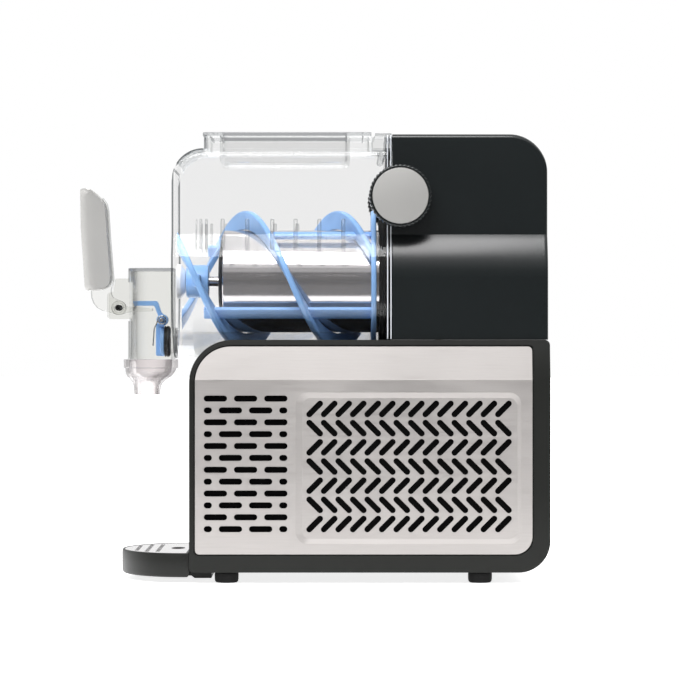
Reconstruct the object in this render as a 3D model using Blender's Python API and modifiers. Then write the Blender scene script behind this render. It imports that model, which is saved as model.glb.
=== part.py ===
# Countertop frozen drink machine: a chilled drum and a screw auger inside a clear tank, a pull lever
# spout, a rear drive housing and a vented base with a drip tray.
# The front (spout) faces -Y, +Z is up, and the origin is on the ground under the middle of the machine.
import math

import bmesh
import bpy
from mathutils import Matrix, Vector

MM = 0.001

# Driving dimensions, in millimetres
GAP = 0.3                 # clearance between two pieces that touch
WALL = 2.8                # wall of the dark casings
CLEAR_WALL = 3.0          # wall of the clear tank
FRONT_WALL = 2.6          # its flat front

BASE_FRONT, BASE_BACK = -116.5, 226.9
BASE_BOTTOM, BASE_TOP = 10.5, 231.7
BASE_HALF = 90.0          # half width of the base below the crease
BASE_TOP_HALF = 82.0      # half width where the leaning sides reach the top
CREASE_Z = 193.5
BASE_NOSE_R, BASE_HEEL_R = 43.0, 30.0

AXIS_Z = 288.7            # height of the drum and auger axis
DRUM_R = 49.8
DRUM_FRONT = -86.9
AUGER_IN_R, AUGER_OUT_R = 50.8, 68.9
AUGER_LEAD = 180.0        # travel of one full turn of a strand
AUGER_BLADE = 6.0
AUGER_FRONT = -129.6      # plane that both strands are cut off on
TROUGH_R = 75.0           # outside of the tank's round bottom
GROOVE_R = 76.5           # hollow in the top of the base that the tank lies in

TANK_FRONT, TANK_BACK = -134.5, 76.8
TANK_TOP = 415.7
TANK_NECK_HALF = 65.0
SHOULDER_TOP, SHOULDER_LOW = 333.0, 311.2
COLLAR_TOP = 427.5
FILLER = (-98.8, 55.0, 45.0)     # front and back edge and half width of the filler hole

HOUSING_FRONT, HOUSING_BACK = 77.2, 225.5
HOUSING_TOP = 428.6
HOUSING_NECK_HALF = 67.0
HOUSING_R = 80.0
HOUSING_BOTTOM = 232.0

KNOB_Y, KNOB_Z = 84.5, 368.7
KNOB_R, KNOB_FACE = 30.0, 92.0
KNOB_FLUTES = 24

LID_TOP = 431.8
LID_HINGE = (0.0, 57.5, 430.0)
LEVER_PIVOT = (0.0, -189.1, 263.0)
VALVE_PIVOT = (0.0, -146.4, 251.0)
SPOUT_Y = -157.8          # middle of the spout tube
SPOUT_HALF = 22.0
NOZZLE_SHIFT = 3.6        # how far the outlet stands in front of the spout's middle

TRAY_FRONT, TRAY_BACK = -185.6, -117.0
TRAY_HALF = 84.0
TRAY_BOTTOM, TRAY_TOP = 7.0, 28.6

FOOT_R = 11.5
FOOT_PLACES = {
    "foot_front_right": (72.0, -81.3),
    "foot_front_left": (-72.0, -81.3),
    "foot_rear_right": (72.0, 160.7),
    "foot_rear_left": (-72.0, 160.7),
}

# Which world axes an outline's two numbers run along, by the axis it is extruded on
PLANES = {
    "X": Matrix(((0, 0, 1), (1, 0, 0), (0, 1, 0))),
    "Y": Matrix(((1, 0, 0), (0, 0, -1), (0, 1, 0))),
    "Z": Matrix.Identity(3),
}
# Turns a shape's own +Z onto the axis it is turned about
TURNS = {
    "Z": Matrix.Identity(4),
    "X": Matrix.Rotation(math.pi / 2, 4, "Y"),
    "-X": Matrix.Rotation(-math.pi / 2, 4, "Y"),
    "-Y": Matrix.Rotation(math.pi / 2, 4, "X"),
    "Y": Matrix.Rotation(-math.pi / 2, 4, "X"),
}

for old in list(bpy.data.objects):
    bpy.data.objects.remove(old)

parts = bpy.data.collections.new("frozen_drink_machine")
cutters = bpy.data.collections.new("cutters")
for made in (parts, cutters):
    bpy.context.scene.collection.children.link(made)


# Materials

def finish(name, colour, roughness, metallic=0.0, clear=0.0):
    """A Principled material; clear lets light through."""
    made = bpy.data.materials.new(name)
    made.use_nodes = True
    shader = made.node_tree.nodes["Principled BSDF"]
    shader.inputs["Base Color"].default_value = (*colour, 1.0)
    shader.inputs["Roughness"].default_value = roughness
    shader.inputs["Metallic"].default_value = metallic
    shader.inputs["Transmission Weight"].default_value = clear
    made.diffuse_color = (*colour, 1.0)
    return made


CASING = finish("casing_grey", (0.030, 0.032, 0.030), 0.5)
BLACK = finish("satin_black", (0.016, 0.019, 0.020), 0.35)
STEEL = finish("brushed_steel", (0.56, 0.55, 0.54), 0.35, 1.0)
POLISHED = finish("polished_steel", (0.62, 0.61, 0.60), 0.15, 1.0)
CLEAR = finish("clear_plastic", (0.90, 0.91, 0.92), 0.05, 0.0, 0.9)
BLUE = finish("auger_blue", (0.13, 0.30, 0.66), 0.35)
SILVER = finish("silver_paint", (0.55, 0.55, 0.54), 0.35, 0.6)
RUBBER = finish("black_rubber", (0.012, 0.012, 0.012), 0.8)
METAL = finish("plain_metal", (0.35, 0.35, 0.36), 0.4, 1.0)
COPPER = finish("copper_tube", (0.60, 0.27, 0.14), 0.35, 1.0)
GREEN = finish("circuit_green", (0.02, 0.13, 0.05), 0.5)
GLOSS = finish("gloss_black", (0.01, 0.01, 0.012), 0.08)


# Modelling helpers

def place(name, mesh, material, matrix=None, cutter=False):
    """An object around a mesh whose points are in metres, put where matrix says."""
    made = bpy.data.objects.new(name, mesh)
    (cutters if cutter else parts).objects.link(made)
    if matrix is not None:
        made.matrix_world = matrix
    if cutter:
        made.hide_render = True
        made.display_type = "WIRE"
    else:
        mesh.materials.clear()
        mesh.materials.append(material)
    return made


def at(x, y, z):
    return Matrix.Translation(Vector((x, y, z)) * MM)


def box(name, low, high, material=None, cutter=False, bevel=0.0):
    """A block between two corners, with its edges rounded if bevel is given."""
    size = [high[i] - low[i] for i in range(3)]
    mesh = bpy.data.meshes.new(name)
    form = bmesh.new()
    bmesh.ops.create_cube(form, size=MM)
    bmesh.ops.scale(form, vec=size, verts=form.verts)
    form.to_mesh(mesh)
    form.free()
    made = place(name, mesh, material, at(*[(high[i] + low[i]) / 2 for i in range(3)]), cutter)
    if bevel:
        rounding = made.modifiers.new("rounding", "BEVEL")
        rounding.width = bevel * MM
        rounding.segments = 2
    return made


def rod(name, radius, start, length, along, material=None, cutter=False, sides=24):
    """A plain cylinder of a length, from a start point along an axis."""
    mesh = bpy.data.meshes.new(name)
    form = bmesh.new()
    bmesh.ops.create_cone(form, cap_ends=True, segments=sides, radius1=radius * MM,
                          radius2=radius * MM, depth=length * MM)
    bmesh.ops.translate(form, vec=(0, 0, length * MM / 2), verts=form.verts)
    form.to_mesh(mesh)
    form.free()
    mesh.shade_smooth()
    mesh.set_sharp_from_angle(angle=math.radians(35))
    return place(name, mesh, material, at(*start) @ TURNS[along], cutter)


def outline_mesh(name, outlines, low, high):
    """A flat outline, with holes where more loops are given, made a closed solid from low to high."""
    curve = bpy.data.curves.new(name, "CURVE")
    curve.dimensions = "2D"
    curve.fill_mode = "BOTH"
    curve.extrude = (high - low) / 2 * MM
    for points in outlines:
        loop = curve.splines.new("POLY")
        loop.points.add(len(points) - 1)
        for point, (across, up) in zip(loop.points, points):
            point.co = (across * MM, up * MM, 0, 1)
        loop.use_cyclic_u = True
    flat = bpy.data.objects.new(name, curve)
    parts.objects.link(flat)
    shape = flat.evaluated_get(bpy.context.evaluated_depsgraph_get())
    mesh = bpy.data.meshes.new_from_object(shape)
    bpy.data.objects.remove(flat)
    form = bmesh.new()
    form.from_mesh(mesh)
    bmesh.ops.remove_doubles(form, verts=form.verts, dist=0.000001)
    bmesh.ops.dissolve_limit(form, angle_limit=0.001, verts=form.verts, edges=form.edges)
    bmesh.ops.recalc_face_normals(form, faces=form.faces)
    form.to_mesh(mesh)
    form.free()
    return mesh


def outline_solid(name, outlines, plane, low, high, material=None, cutter=False):
    """An outline's solid standing across X, Y or Z between low and high."""
    if not isinstance(outlines[0][0], (tuple, list)):
        outlines = [outlines]
    mesh = outline_mesh(name, outlines, low, high)
    turn = PLANES[plane].to_4x4()
    middle = (low + high) / 2 * MM
    centre = {"X": (middle, 0, 0), "Y": (0, middle, 0), "Z": (0, 0, middle)}[plane]
    return place(name, mesh, material, Matrix.Translation(centre) @ turn, cutter)


def rounded(corners):
    """Points of a closed outline whose corners (across, up, radius, steps) are rounded by arcs."""
    points = []
    count = len(corners)
    for i, (across, up, radius, steps) in enumerate(corners):
        here = Vector((across, up))
        if radius <= 0:
            points.append((across, up))
            continue
        before = (Vector(corners[i - 1][:2]) - here).normalized()
        after = (Vector(corners[(i + 1) % count][:2]) - here).normalized()
        half = before.angle(after) / 2
        reach = radius / math.tan(half)
        centre = here + (before + after).normalized() * radius / math.sin(half)
        start = here + before * reach - centre
        sweep = start.angle_signed(here + after * reach - centre)
        for step in range(steps + 1):
            turn = Matrix.Rotation(-sweep * step / steps, 2)
            points.append(tuple(centre + turn @ start))
    return points


def arc(centre, radius, start, end, steps, squash=1.0):
    """Points along an arc in degrees; squash scales the second number."""
    points = []
    for step in range(steps + 1):
        angle = math.radians(start + (end - start) * step / steps)
        points.append((centre[0] + radius * math.cos(angle), centre[1] + radius * squash * math.sin(angle)))
    return points


def turned(name, profile, along, start, material=None, steps=24, ring=False, cutter=False):
    """A turned shape; its profile is (radius, height) pairs running down the outer side."""
    mesh = bpy.data.meshes.new(name)
    form = bmesh.new()
    points = [form.verts.new((radius * MM, 0, height * MM)) for radius, height in profile]
    pairs = list(zip(points, points[1:]))
    if ring:
        pairs.append((points[-1], points[0]))
    for pair in pairs:
        form.edges.new(pair)
    form.to_mesh(mesh)
    form.free()
    made = place(name, mesh, material, at(*start) @ TURNS[along], cutter)
    screw = made.modifiers.new("turning", "SCREW")
    screw.steps = steps
    screw.render_steps = steps
    screw.use_merge_vertices = True
    screw.merge_threshold = 0.00001
    screw.use_smooth_shade = True
    return made


def tube(name, points, radius, material, smooth=6, sides=2):
    """A pipe through points in mm, bent smoothly between them."""
    path = []
    last = len(points) - 1
    for i in range(last):
        a, b = Vector(points[i]), Vector(points[i + 1])
        before = Vector(points[max(i - 1, 0)])
        beyond = Vector(points[min(i + 2, last)])
        for step in range(smooth):
            t = step / smooth
            path.append(0.5 * ((2 * a) + (b - before) * t + (2 * before - 5 * a + 4 * b - beyond) * t * t
                               + (3 * a - before - 3 * b + beyond) * t ** 3))
    path.append(Vector(points[last]))
    curve = bpy.data.curves.new(name, "CURVE")
    curve.dimensions = "3D"
    curve.bevel_depth = radius * MM
    curve.bevel_resolution = sides
    curve.use_fill_caps = True
    line = curve.splines.new("POLY")
    line.points.add(len(path) - 1)
    for point, place_mm in zip(line.points, path):
        point.co = (*(place_mm * MM), 1)
    curve.materials.append(material)
    made = bpy.data.objects.new(name, curve)
    parts.objects.link(made)
    return made


def boolean(target, other, operation):
    step = target.modifiers.new(operation.lower(), "BOOLEAN")
    step.operation = operation
    step.object = other
    step.solver = "EXACT"


def cut(target, *others):
    for other in others:
        boolean(target, other, "DIFFERENCE")


def join(target, *others):
    for other in others:
        boolean(target, other, "UNION")


def lean(made):
    """Leans the sides of a shape extruded along X inward above the base's crease."""
    slope = (BASE_HALF - BASE_TOP_HALF) / (BASE_TOP - CREASE_Z)
    middle = made.location.x
    form = bmesh.new()
    form.from_mesh(made.data)
    bmesh.ops.bisect_plane(form, geom=form.verts[:] + form.edges[:] + form.faces[:],
                           plane_co=(0, CREASE_Z * MM, 0), plane_no=(0, 1, 0))
    for vert in form.verts:
        above = max(0.0, vert.co.y - CREASE_Z * MM) * slope
        vert.co.z -= math.copysign(above, vert.co.z + middle)
    form.to_mesh(made.data)
    form.free()


def hang(name, place_mm, pieces):
    """Parents pieces to an empty that stands on their joint's axis."""
    pivot = bpy.data.objects.new(name, None)
    parts.objects.link(pivot)
    pivot.matrix_world = at(*place_mm)
    for piece in pieces:
        stay = piece.matrix_world.copy()
        piece.parent = pivot
        piece.matrix_parent_inverse = pivot.matrix_world.inverted()
        piece.matrix_basis = stay


# Outlines shared by several pieces

def base_outline(inset):
    """The base's side outline, drawn in by inset."""
    return rounded([
        (BASE_FRONT + inset, BASE_BOTTOM + inset, max(4.0 - inset, 0.8), 2),
        (BASE_BACK - inset, BASE_BOTTOM + inset, BASE_HEEL_R - inset, 6),
        (BASE_BACK - inset, BASE_TOP - inset, max(5.0 - inset, 0.8), 2),
        (BASE_FRONT + inset, BASE_TOP - inset, BASE_NOSE_R - inset, 8),
    ])


def panel_outline(inset):
    """The steel side panel's outline, drawn in by inset."""
    return rounded([
        (-110.8 + inset, 27.8 + inset, 4.0, 2),
        (209.8 - inset, 27.8 + inset, 17.0 - inset / 2, 4),
        (209.8 - inset, 225.3 - inset, 4.0, 2),
        (-110.8 + inset, 225.3 - inset, 36.0 - inset, 6),
    ])


def housing_section(inset, bottom):
    """The keyhole section of the rear housing: a narrow neck over a round shoulder."""
    radius = HOUSING_R - inset
    neck = HOUSING_NECK_HALF - inset
    rise = math.degrees(math.acos(neck / radius))
    top = HOUSING_TOP - inset
    right = arc((0, AXIS_Z), radius, 0, rise, 6)
    corner = rounded([(neck, SHOULDER_TOP, 0, 0), (neck, top, 9.0 - inset, 3), (0, top, 0, 0)])[1:-1]
    half = [(radius, bottom)] + right + corner
    return half + [(-across, up) for across, up in reversed(half)]


def tank_section(inset):
    """The tank's section: a round trough, a sloping shoulder and a narrow neck."""
    radius = TROUGH_R - inset
    neck = TANK_NECK_HALF - inset
    top = TANK_TOP - inset
    corner = rounded([(neck, SHOULDER_TOP, 0, 0), (neck, top, 9.0 - inset, 3), (0, top, 0, 0)])[1:-1]
    half = arc((0, AXIS_Z), radius, -90, 0, 12)[1:] + [(radius, SHOULDER_LOW), (neck, SHOULDER_TOP)] + corner
    return [(0, AXIS_Z - radius)] + half + [(-across, up) for across, up in reversed(half)]


def tray_outline(inset, back=TRAY_BACK):
    """The drip tray from above: straight at the back and oval in front."""
    middle = back - 6.0
    deep = middle - TRAY_FRONT - inset
    wide = TRAY_HALF - inset
    front = arc((0, middle), wide, 180, 360, 24, deep / wide)
    return front + [(wide, back - inset), (-wide, back - inset)]


# Base

def long_slots():
    """The group of level vents near the front: three long slots, then short, long, long, short."""
    rows, row_pitch, half_high = 12, 11.28, 2.65
    front, back, gap, long = -102.5, -23.0, 6.5, 22.2
    short = (back - front - 2 * long - 3 * gap) / 2
    slots = []
    for row in range(rows):
        up = 175.9 - row * row_pitch
        widths = (long, long, long) if row % 2 == 0 else (short, long, long, short)
        start = front
        for wide in widths:
            slots.append([(start, up - half_high), (start + wide, up - half_high),
                          (start + wide, up + half_high), (start, up + half_high)])
            start += wide + gap
    return slots


def chevron_slots():
    """Seven rows of slots that lean one way and then the other."""
    columns, rows = 14, 7
    slots = []
    for row in range(rows):
        lean_way = 1 if row % 2 == 0 else -1
        along = Vector((lean_way, 1)).normalized() * 9.0
        across = Vector((along.y, -along.x)).normalized() * 2.6
        for column in range(columns):
            centre = Vector((2.9 + 13.8 * column, 166.0 - 18.23 * row))
            corners = [centre - along - across, centre - along + across,
                       centre + along + across, centre + along - across]
            slots.append([tuple(corner) for corner in corners])
    return slots


def make_base():
    shell = outline_solid("base_shell", base_outline(0), "X", -BASE_HALF, BASE_HALF, CASING)
    lean(shell)
    hollow = outline_solid("base_hollow", base_outline(WALL), "X", WALL - BASE_HALF, BASE_HALF - WALL,
                           cutter=True)
    lean(hollow)
    keep = rod("groove_wall", GROOVE_R + WALL, (0, BASE_FRONT - 5, AXIS_Z), 200, "Y", cutter=True, sides=64)
    cut(hollow, keep)
    groove = rod("groove", GROOVE_R, (0, BASE_FRONT - 10, AXIS_Z), 204, "Y", cutter=True, sides=64)
    floor_hole = box("floor_hole", (-84, -112.5, 5), (84, 195, 16), cutter=True)
    cable_hole = box("cable_hole", (-50, 100, 220), (50, 200, 240), cutter=True)
    cut(shell, hollow, groove, floor_hole, cable_hole)
    for side, sign in (("right", 1), ("left", -1)):
        rebate_edges = sorted((sign * (BASE_HALF - 1.7), sign * (BASE_HALF + 6)))
        rebate = outline_solid("rebate_" + side, panel_outline(-0.8), "X", *rebate_edges, cutter=True)
        lean(rebate)
        window_edges = sorted((sign * (BASE_HALF - 12), sign * (BASE_HALF + 5)))
        window = outline_solid("window_" + side, panel_outline(6.0), "X", *window_edges, cutter=True)
        cut(shell, rebate, window)
        panel_edges = sorted((sign * (BASE_HALF - 1.4), sign * (BASE_HALF - 0.2)))
        panel = outline_solid("side_panel_" + side, [panel_outline(0)] + long_slots() + chevron_slots(),
                              "X", *panel_edges, STEEL)
        lean(panel)
        filter_edges = sorted((sign * 85.1, sign * 86.8))
        box("vent_filter_" + side, (filter_edges[0], -106, 33), (filter_edges[1], 206, 190), RUBBER)
    box("base_floor", (-83.6, -112.1, BASE_BOTTOM), (83.6, 194.6, BASE_BOTTOM + 2.6), CASING)
    for name, (x, y) in FOOT_PLACES.items():
        turned(name, [(0, 10.2), (FOOT_R, 10.2), (FOOT_R, 2.0), (FOOT_R - 1.5, 0), (0, 0)], "Z",
               (x, y, 0), RUBBER, steps=16)
    return shell


def make_back(shell):
    """The grille, inlet socket and rocker switch on the back of the base."""
    edge = BASE_BACK
    grille_hole = box("grille_hole", (-60, edge - 6, 60), (60, edge + 5, 150), cutter=True)
    cut(shell, grille_hole)
    slots = [[(-50, up), (50, up), (50, up + 4), (-50, up + 4)] for up in range(68, 142, 9)]
    plate = [(-59.6, 60.4), (59.6, 60.4), (59.6, 149.6), (-59.6, 149.6)]
    outline_solid("rear_grille", [plate] + slots, "Y", edge - 2.4, edge - 0.3, CASING)
    inlet_hole = box("inlet_hole", (32, edge - 6, 170), (60, edge + 5, 190), cutter=True)
    switch_hole = box("switch_hole", (-58, edge - 6, 168), (-36, edge + 5, 192), cutter=True)
    cut(shell, inlet_hole, switch_hole)
    socket = box("power_inlet", (32.4, edge - 24, 170.4), (59.6, edge - 0.2, 189.6), BLACK)
    well = box("inlet_well", (35.4, edge - 20, 172.8), (56.6, edge + 4, 187.2), cutter=True)
    cut(socket, well)
    rocker = outline_solid("power_switch", rounded([
        (edge - 12, 172.0, 2, 2), (edge - 1.6, 170.0, 1, 2), (edge - 0.3, 180.0, 0, 0),
        (edge - 1.6, 190.0, 1, 2), (edge - 12, 188.0, 2, 2)]), "X", -56, -38, GLOSS)
    hang("switch_axis", (-47, edge - 12, 180), [rocker])


def make_controls(shell):
    """The touch panel in the front of the base and its buttons."""
    face = BASE_FRONT
    low_z, high_z, half = 96.0, 168.0, 52.0
    recess = box("panel_recess", (-half, face - 5, low_z), (half, face + 2.0, high_z), cutter=True)
    cut(shell, recess)
    panel = box("control_panel", (-half + 0.4, face + 0.3, low_z + 0.4), (half - 0.4, face + 1.7, high_z - 0.4),
                GLOSS)
    window = box("lens_hole", (-26, face - 2, 136), (26, face + 2, 160), cutter=True)
    cut(panel, window)
    box("display_lens", (-25.6, face + 0.4, 136.4), (25.6, face + 1.6, 159.6), CLEAR)
    for number, x in enumerate((-32.0, 0.0, 32.0), 1):
        hole = rod("button_hole", 8.6, (x, face - 4, 116), 12, "Y", cutter=True, sides=20)
        cut(panel, hole)
        cut(shell, hole)
        button = turned("button_" + str(number), [(0, 0.0), (7.4, 0.0), (8.2, -0.8), (8.2, -6.0), (0, -6.0)],
                        "-Y", (x, face + 0.1, 116), METAL, steps=14)
        hang("button_axis_" + str(number), (x, face, 116), [button])
    board = box("control_board", (-46, face + 12, 92), (46, face + 13.6, 172), GREEN)
    for number, (x, z, high) in enumerate(((-20, 150, 6), (18, 112, 8), (24, 152, 4))):
        join(board, box("chip_" + str(number), (x - 9, face + 13, z - 8), (x + 9, face + 14 + high, z + 8),
                        cutter=True))


# Cooling parts inside the base

def make_cooling():
    turned("compressor", [(0, 146), (20, 144), (36, 137), (43, 124), (44, 80), (44, 34), (38, 22), (30, 16),
                          (0, 16)], "Z", (0, -42, 0), BLACK, steps=16)
    slots = []
    for row in range(9):
        y = 40 + row * 17
        slots.append([(y, 38), (y + 9, 38), (y + 9, 172), (y, 172)])
    frame = [(30, 28), (194, 28), (194, 182), (30, 182)]
    outline_solid("condenser", [frame] + slots, "X", 56, 78, METAL)
    shroud = outline_solid("fan_shroud", [rounded([(32, 30, 6, 2), (192, 30, 6, 2), (192, 180, 6, 2),
                                                   (32, 180, 6, 2)]), arc((112, 105), 62, 0, 345, 23)],
                           "X", 40, 55.6, CASING)
    fan_y, fan_z = 112.0, 105.0
    hub = rod("fan_rotor", 16, (24, fan_y, fan_z), 24, "X", BLACK, sides=20)
    for blade in range(5):
        wing = box("blade_" + str(blade), (-8, -13, 12), (8, 13, 57), cutter=True)
        wing.data.transform(Matrix.Diagonal((0.16, 1, 1, 1)))
        spin = Matrix.Rotation(math.radians(72 * blade), 4, "X")
        pitch = Matrix.Rotation(math.radians(32), 4, "Z")
        wing.matrix_world = at(40, fan_y, fan_z) @ spin @ at(0, 0, 34.5) @ pitch
        join(hub, wing)
    hang("fan_axis", (36, fan_y, fan_z), [hub])
    motor = rod("fan_motor", 22, (-16, fan_y, fan_z), 38, "X", METAL, sides=20)
    post = box("motor_post", (-12, fan_y - 10, 13.4), (14, fan_y + 10, fan_z), cutter=True)
    join(motor, post)
    tube("discharge_line", [(30, -10, 128), (44, 0, 150), (52, 10, 178), (58, 40, 194), (66, 60, 195),
                            (67, 68, 191), (67, 68, 184)], 3.0, COPPER, smooth=3, sides=1)
    tube("suction_line", [(-24, -42, 147), (-30, -20, 172), (-32, 40, 184), (-34, 96, 196), (-44, 120, 215),
                          (-45, 124, 238), (-45, 114, 260), (-42, 98, 268), (-42, 82, 268)], 3.5, COPPER,
         smooth=3, sides=1)


# Rear drive housing

def make_housing():
    side = rounded([(HOUSING_FRONT - 20, HOUSING_BOTTOM - 10, 0, 0), (HOUSING_BACK, HOUSING_BOTTOM - 10, 0, 0),
                    (HOUSING_BACK, HOUSING_TOP, 36.0, 8), (HOUSING_FRONT - 20, HOUSING_TOP, 0, 0)])
    inner_side = rounded([(HOUSING_FRONT - 20, HOUSING_BOTTOM - 20, 0, 0),
                          (HOUSING_BACK - WALL, HOUSING_BOTTOM - 20, 0, 0),
                          (HOUSING_BACK - WALL, HOUSING_TOP - WALL, 36.0 - WALL, 8),
                          (HOUSING_FRONT - 20, HOUSING_TOP - WALL, 0, 0)])
    shell = outline_solid("rear_housing", housing_section(0, HOUSING_BOTTOM), "Y", HOUSING_FRONT,
                          HOUSING_BACK, BLACK)
    trim = outline_solid("housing_side", side, "X", -100, 100, cutter=True)
    boolean(shell, trim, "INTERSECT")
    hollow = outline_solid("housing_hollow", housing_section(WALL, HOUSING_BOTTOM - 8), "Y",
                           HOUSING_FRONT - 10, HOUSING_BACK - WALL, cutter=True)
    inner_trim = outline_solid("housing_inner_side", inner_side, "X", -90, 90, cutter=True)
    boolean(hollow, inner_trim, "INTERSECT")
    cut(shell, hollow)
    for sign in (1, -1):
        cut(shell, rod("knob_hole", 3.7, (sign * 55, KNOB_Y, KNOB_Z), 20, "X" if sign > 0 else "-X",
                       cutter=True, sides=16))
    plate = outline_solid("bulkhead", housing_section(WALL + 0.4, HOUSING_BOTTOM + 0.3), "Y",
                          HOUSING_FRONT + 0.4, HOUSING_FRONT + 3.2, BLACK)
    cut(plate, rod("bearing_hole", 13.3, (0, HOUSING_FRONT - 5, AXIS_Z), 20, "Y", cutter=True, sides=24))


def make_drive():
    """The gear motor behind the bulkhead and the shaft that it turns through the drum."""
    front = HOUSING_FRONT + 3.6
    turned("shaft_bush", [(13.0, 0), (13.0, -10), (6.3, -10), (6.3, 0)], "-Y", (0, HOUSING_FRONT, AXIS_Z),
           STEEL, steps=16, ring=True)
    gearbox = box("gearbox", (-36, front + 9, AXIS_Z - 42), (36, front + 50, AXIS_Z + 30), METAL, bevel=3.0)
    cut(gearbox, rod("gear_bore", 7.0, (0, front, AXIS_Z), 40, "Y", cutter=True, sides=24))
    turned("tank_seal", [(50.4, 0.3), (50.4, 12.4), (69.6, 12.4), (71.4, 10.6), (71.4, 0.3)], "-Y",
           (0, HOUSING_FRONT, AXIS_Z), RUBBER, steps=24, ring=True)
    turned("gear_motor", [(0, 0), (28, 0), (30, -3), (30, -66), (26, -70), (0, -70)], "-Y",
           (0, front + 50.3, AXIS_Z - 6), BLACK, steps=24)


def make_drum():
    """The chilled drum, closed in front but for the shaft, and its dark end cap."""
    turned("evaporator_drum", [(8.4, 0), (47.0, 0), (DRUM_R, -2.5), (DRUM_R, -163.7), (48.0, -163.7),
                               (48.0, -3.5), (46.4, -2.0), (8.4, -2.0)], "-Y",
           (0, DRUM_FRONT, AXIS_Z), POLISHED, steps=36, ring=True)
    turned("drum_end_cap", [(8.4, 4.4), (24.0, 4.4), (44.0, 1.2), (45.6, 0.3), (8.4, 0.3)], "-Y",
           (0, DRUM_FRONT, AXIS_Z), RUBBER, steps=24, ring=True)


# Auger

def strand_angle(y, top_y):
    """Angle from straight up towards +X of a strand that crosses the top at top_y."""
    return math.tau * (y - top_y) / AUGER_LEAD


def ribbon(name, top_y, start_y, end_y, material=None, cutter=False):
    """One blade strand: a flat section swept along a helix round the drum, cut off flat in front."""
    turns = (end_y - start_y) / AUGER_LEAD
    steps = math.ceil(turns * 24)
    mesh = bpy.data.meshes.new(name)
    form = bmesh.new()
    half = AUGER_BLADE / 2
    section = [(AUGER_IN_R, -half), (AUGER_OUT_R, -half), (AUGER_OUT_R, half), (AUGER_IN_R, half)]
    first = strand_angle(start_y, top_y)
    verts = [form.verts.new((radius * math.sin(first) * MM, (start_y + along) * MM,
                             (AXIS_Z + radius * math.cos(first)) * MM)) for radius, along in section]
    face = form.faces.new(verts)
    bmesh.ops.spin(form, geom=verts + list(face.edges) + [face], cent=(0, 0, AXIS_Z * MM), axis=(0, 1, 0),
                   dvec=(0, (end_y - start_y) / steps * MM, 0), angle=math.tau * turns, steps=steps,
                   use_merge=False, use_duplicate=False)
    bmesh.ops.remove_doubles(form, verts=form.verts, dist=0.000001)
    split = bmesh.ops.bisect_plane(form, geom=form.verts[:] + form.edges[:] + form.faces[:],
                                   plane_co=(0, AUGER_FRONT * MM, 0), plane_no=(0, 1, 0), clear_inner=True)
    rim = [edge for edge in split["geom_cut"] if isinstance(edge, bmesh.types.BMEdge)]
    bmesh.ops.edgenet_fill(form, edges=rim)
    bmesh.ops.recalc_face_normals(form, faces=form.faces)
    form.to_mesh(mesh)
    form.free()
    return place(name, mesh, material, cutter=cutter)


def bar(name, angle, radius, high, start_y, end_y):
    """A bar along the drum at an angle from straight up, flat side outward."""
    mesh = bpy.data.meshes.new(name)
    form = bmesh.new()
    bmesh.ops.create_cube(form, size=MM)
    bmesh.ops.scale(form, vec=(high, end_y - start_y, 5.0), verts=form.verts)
    form.to_mesh(mesh)
    form.free()
    made = place(name, mesh, None, cutter=True)
    turn = Matrix.Rotation(math.radians(angle), 4, "Y")
    made.matrix_world = at(0, (start_y + end_y) / 2, AXIS_Z) @ turn @ at(0, 0, radius)
    return made


def make_auger():
    spiral = ribbon("auger_spiral", 24.5, -134.0, 59.0, BLUE)
    second = ribbon("second_strand", -65.5, -134.0, 59.0, cutter=True)
    rims = [arc((0, AXIS_Z), radius, 3, 353, 35) for radius in (AUGER_OUT_R + 0.3, AUGER_IN_R - 0.1)]
    ring = outline_solid("auger_ring", rims, "Y", 57.0, 62.0, cutter=True)
    hub = rod("auger_hub", 16, (0, -123, AXIS_Z), 22, "Y", cutter=True, sides=24)
    arm = box("auger_arm", (-58, -115.3, AXIS_Z - 6), (58, -108, AXIS_Z + 6), cutter=True)
    bars = [bar("bar_low_near", 123, 57, 11, -104, 60), bar("bar_low_far", -57, 57, 11, -104, 60),
            bar("bar_high_near", 40, 57, 7, -38, 60), bar("bar_high_far", -140, 57, 7, -38, 60)]
    join(spiral, second, ring, hub, arm, *bars)
    socket = rod("hub_socket", 5.3, (0, -112, AXIS_Z), 20, "Y", cutter=True, sides=16)
    cut(spiral, socket)
    shaft = rod("drive_shaft", 4.9, (0, -111.5, AXIS_Z), 228, "Y", POLISHED, sides=24)
    hang("auger_axis", (0, 0, AXIS_Z), [spiral, shaft])


# Tank, lid and spout

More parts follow.
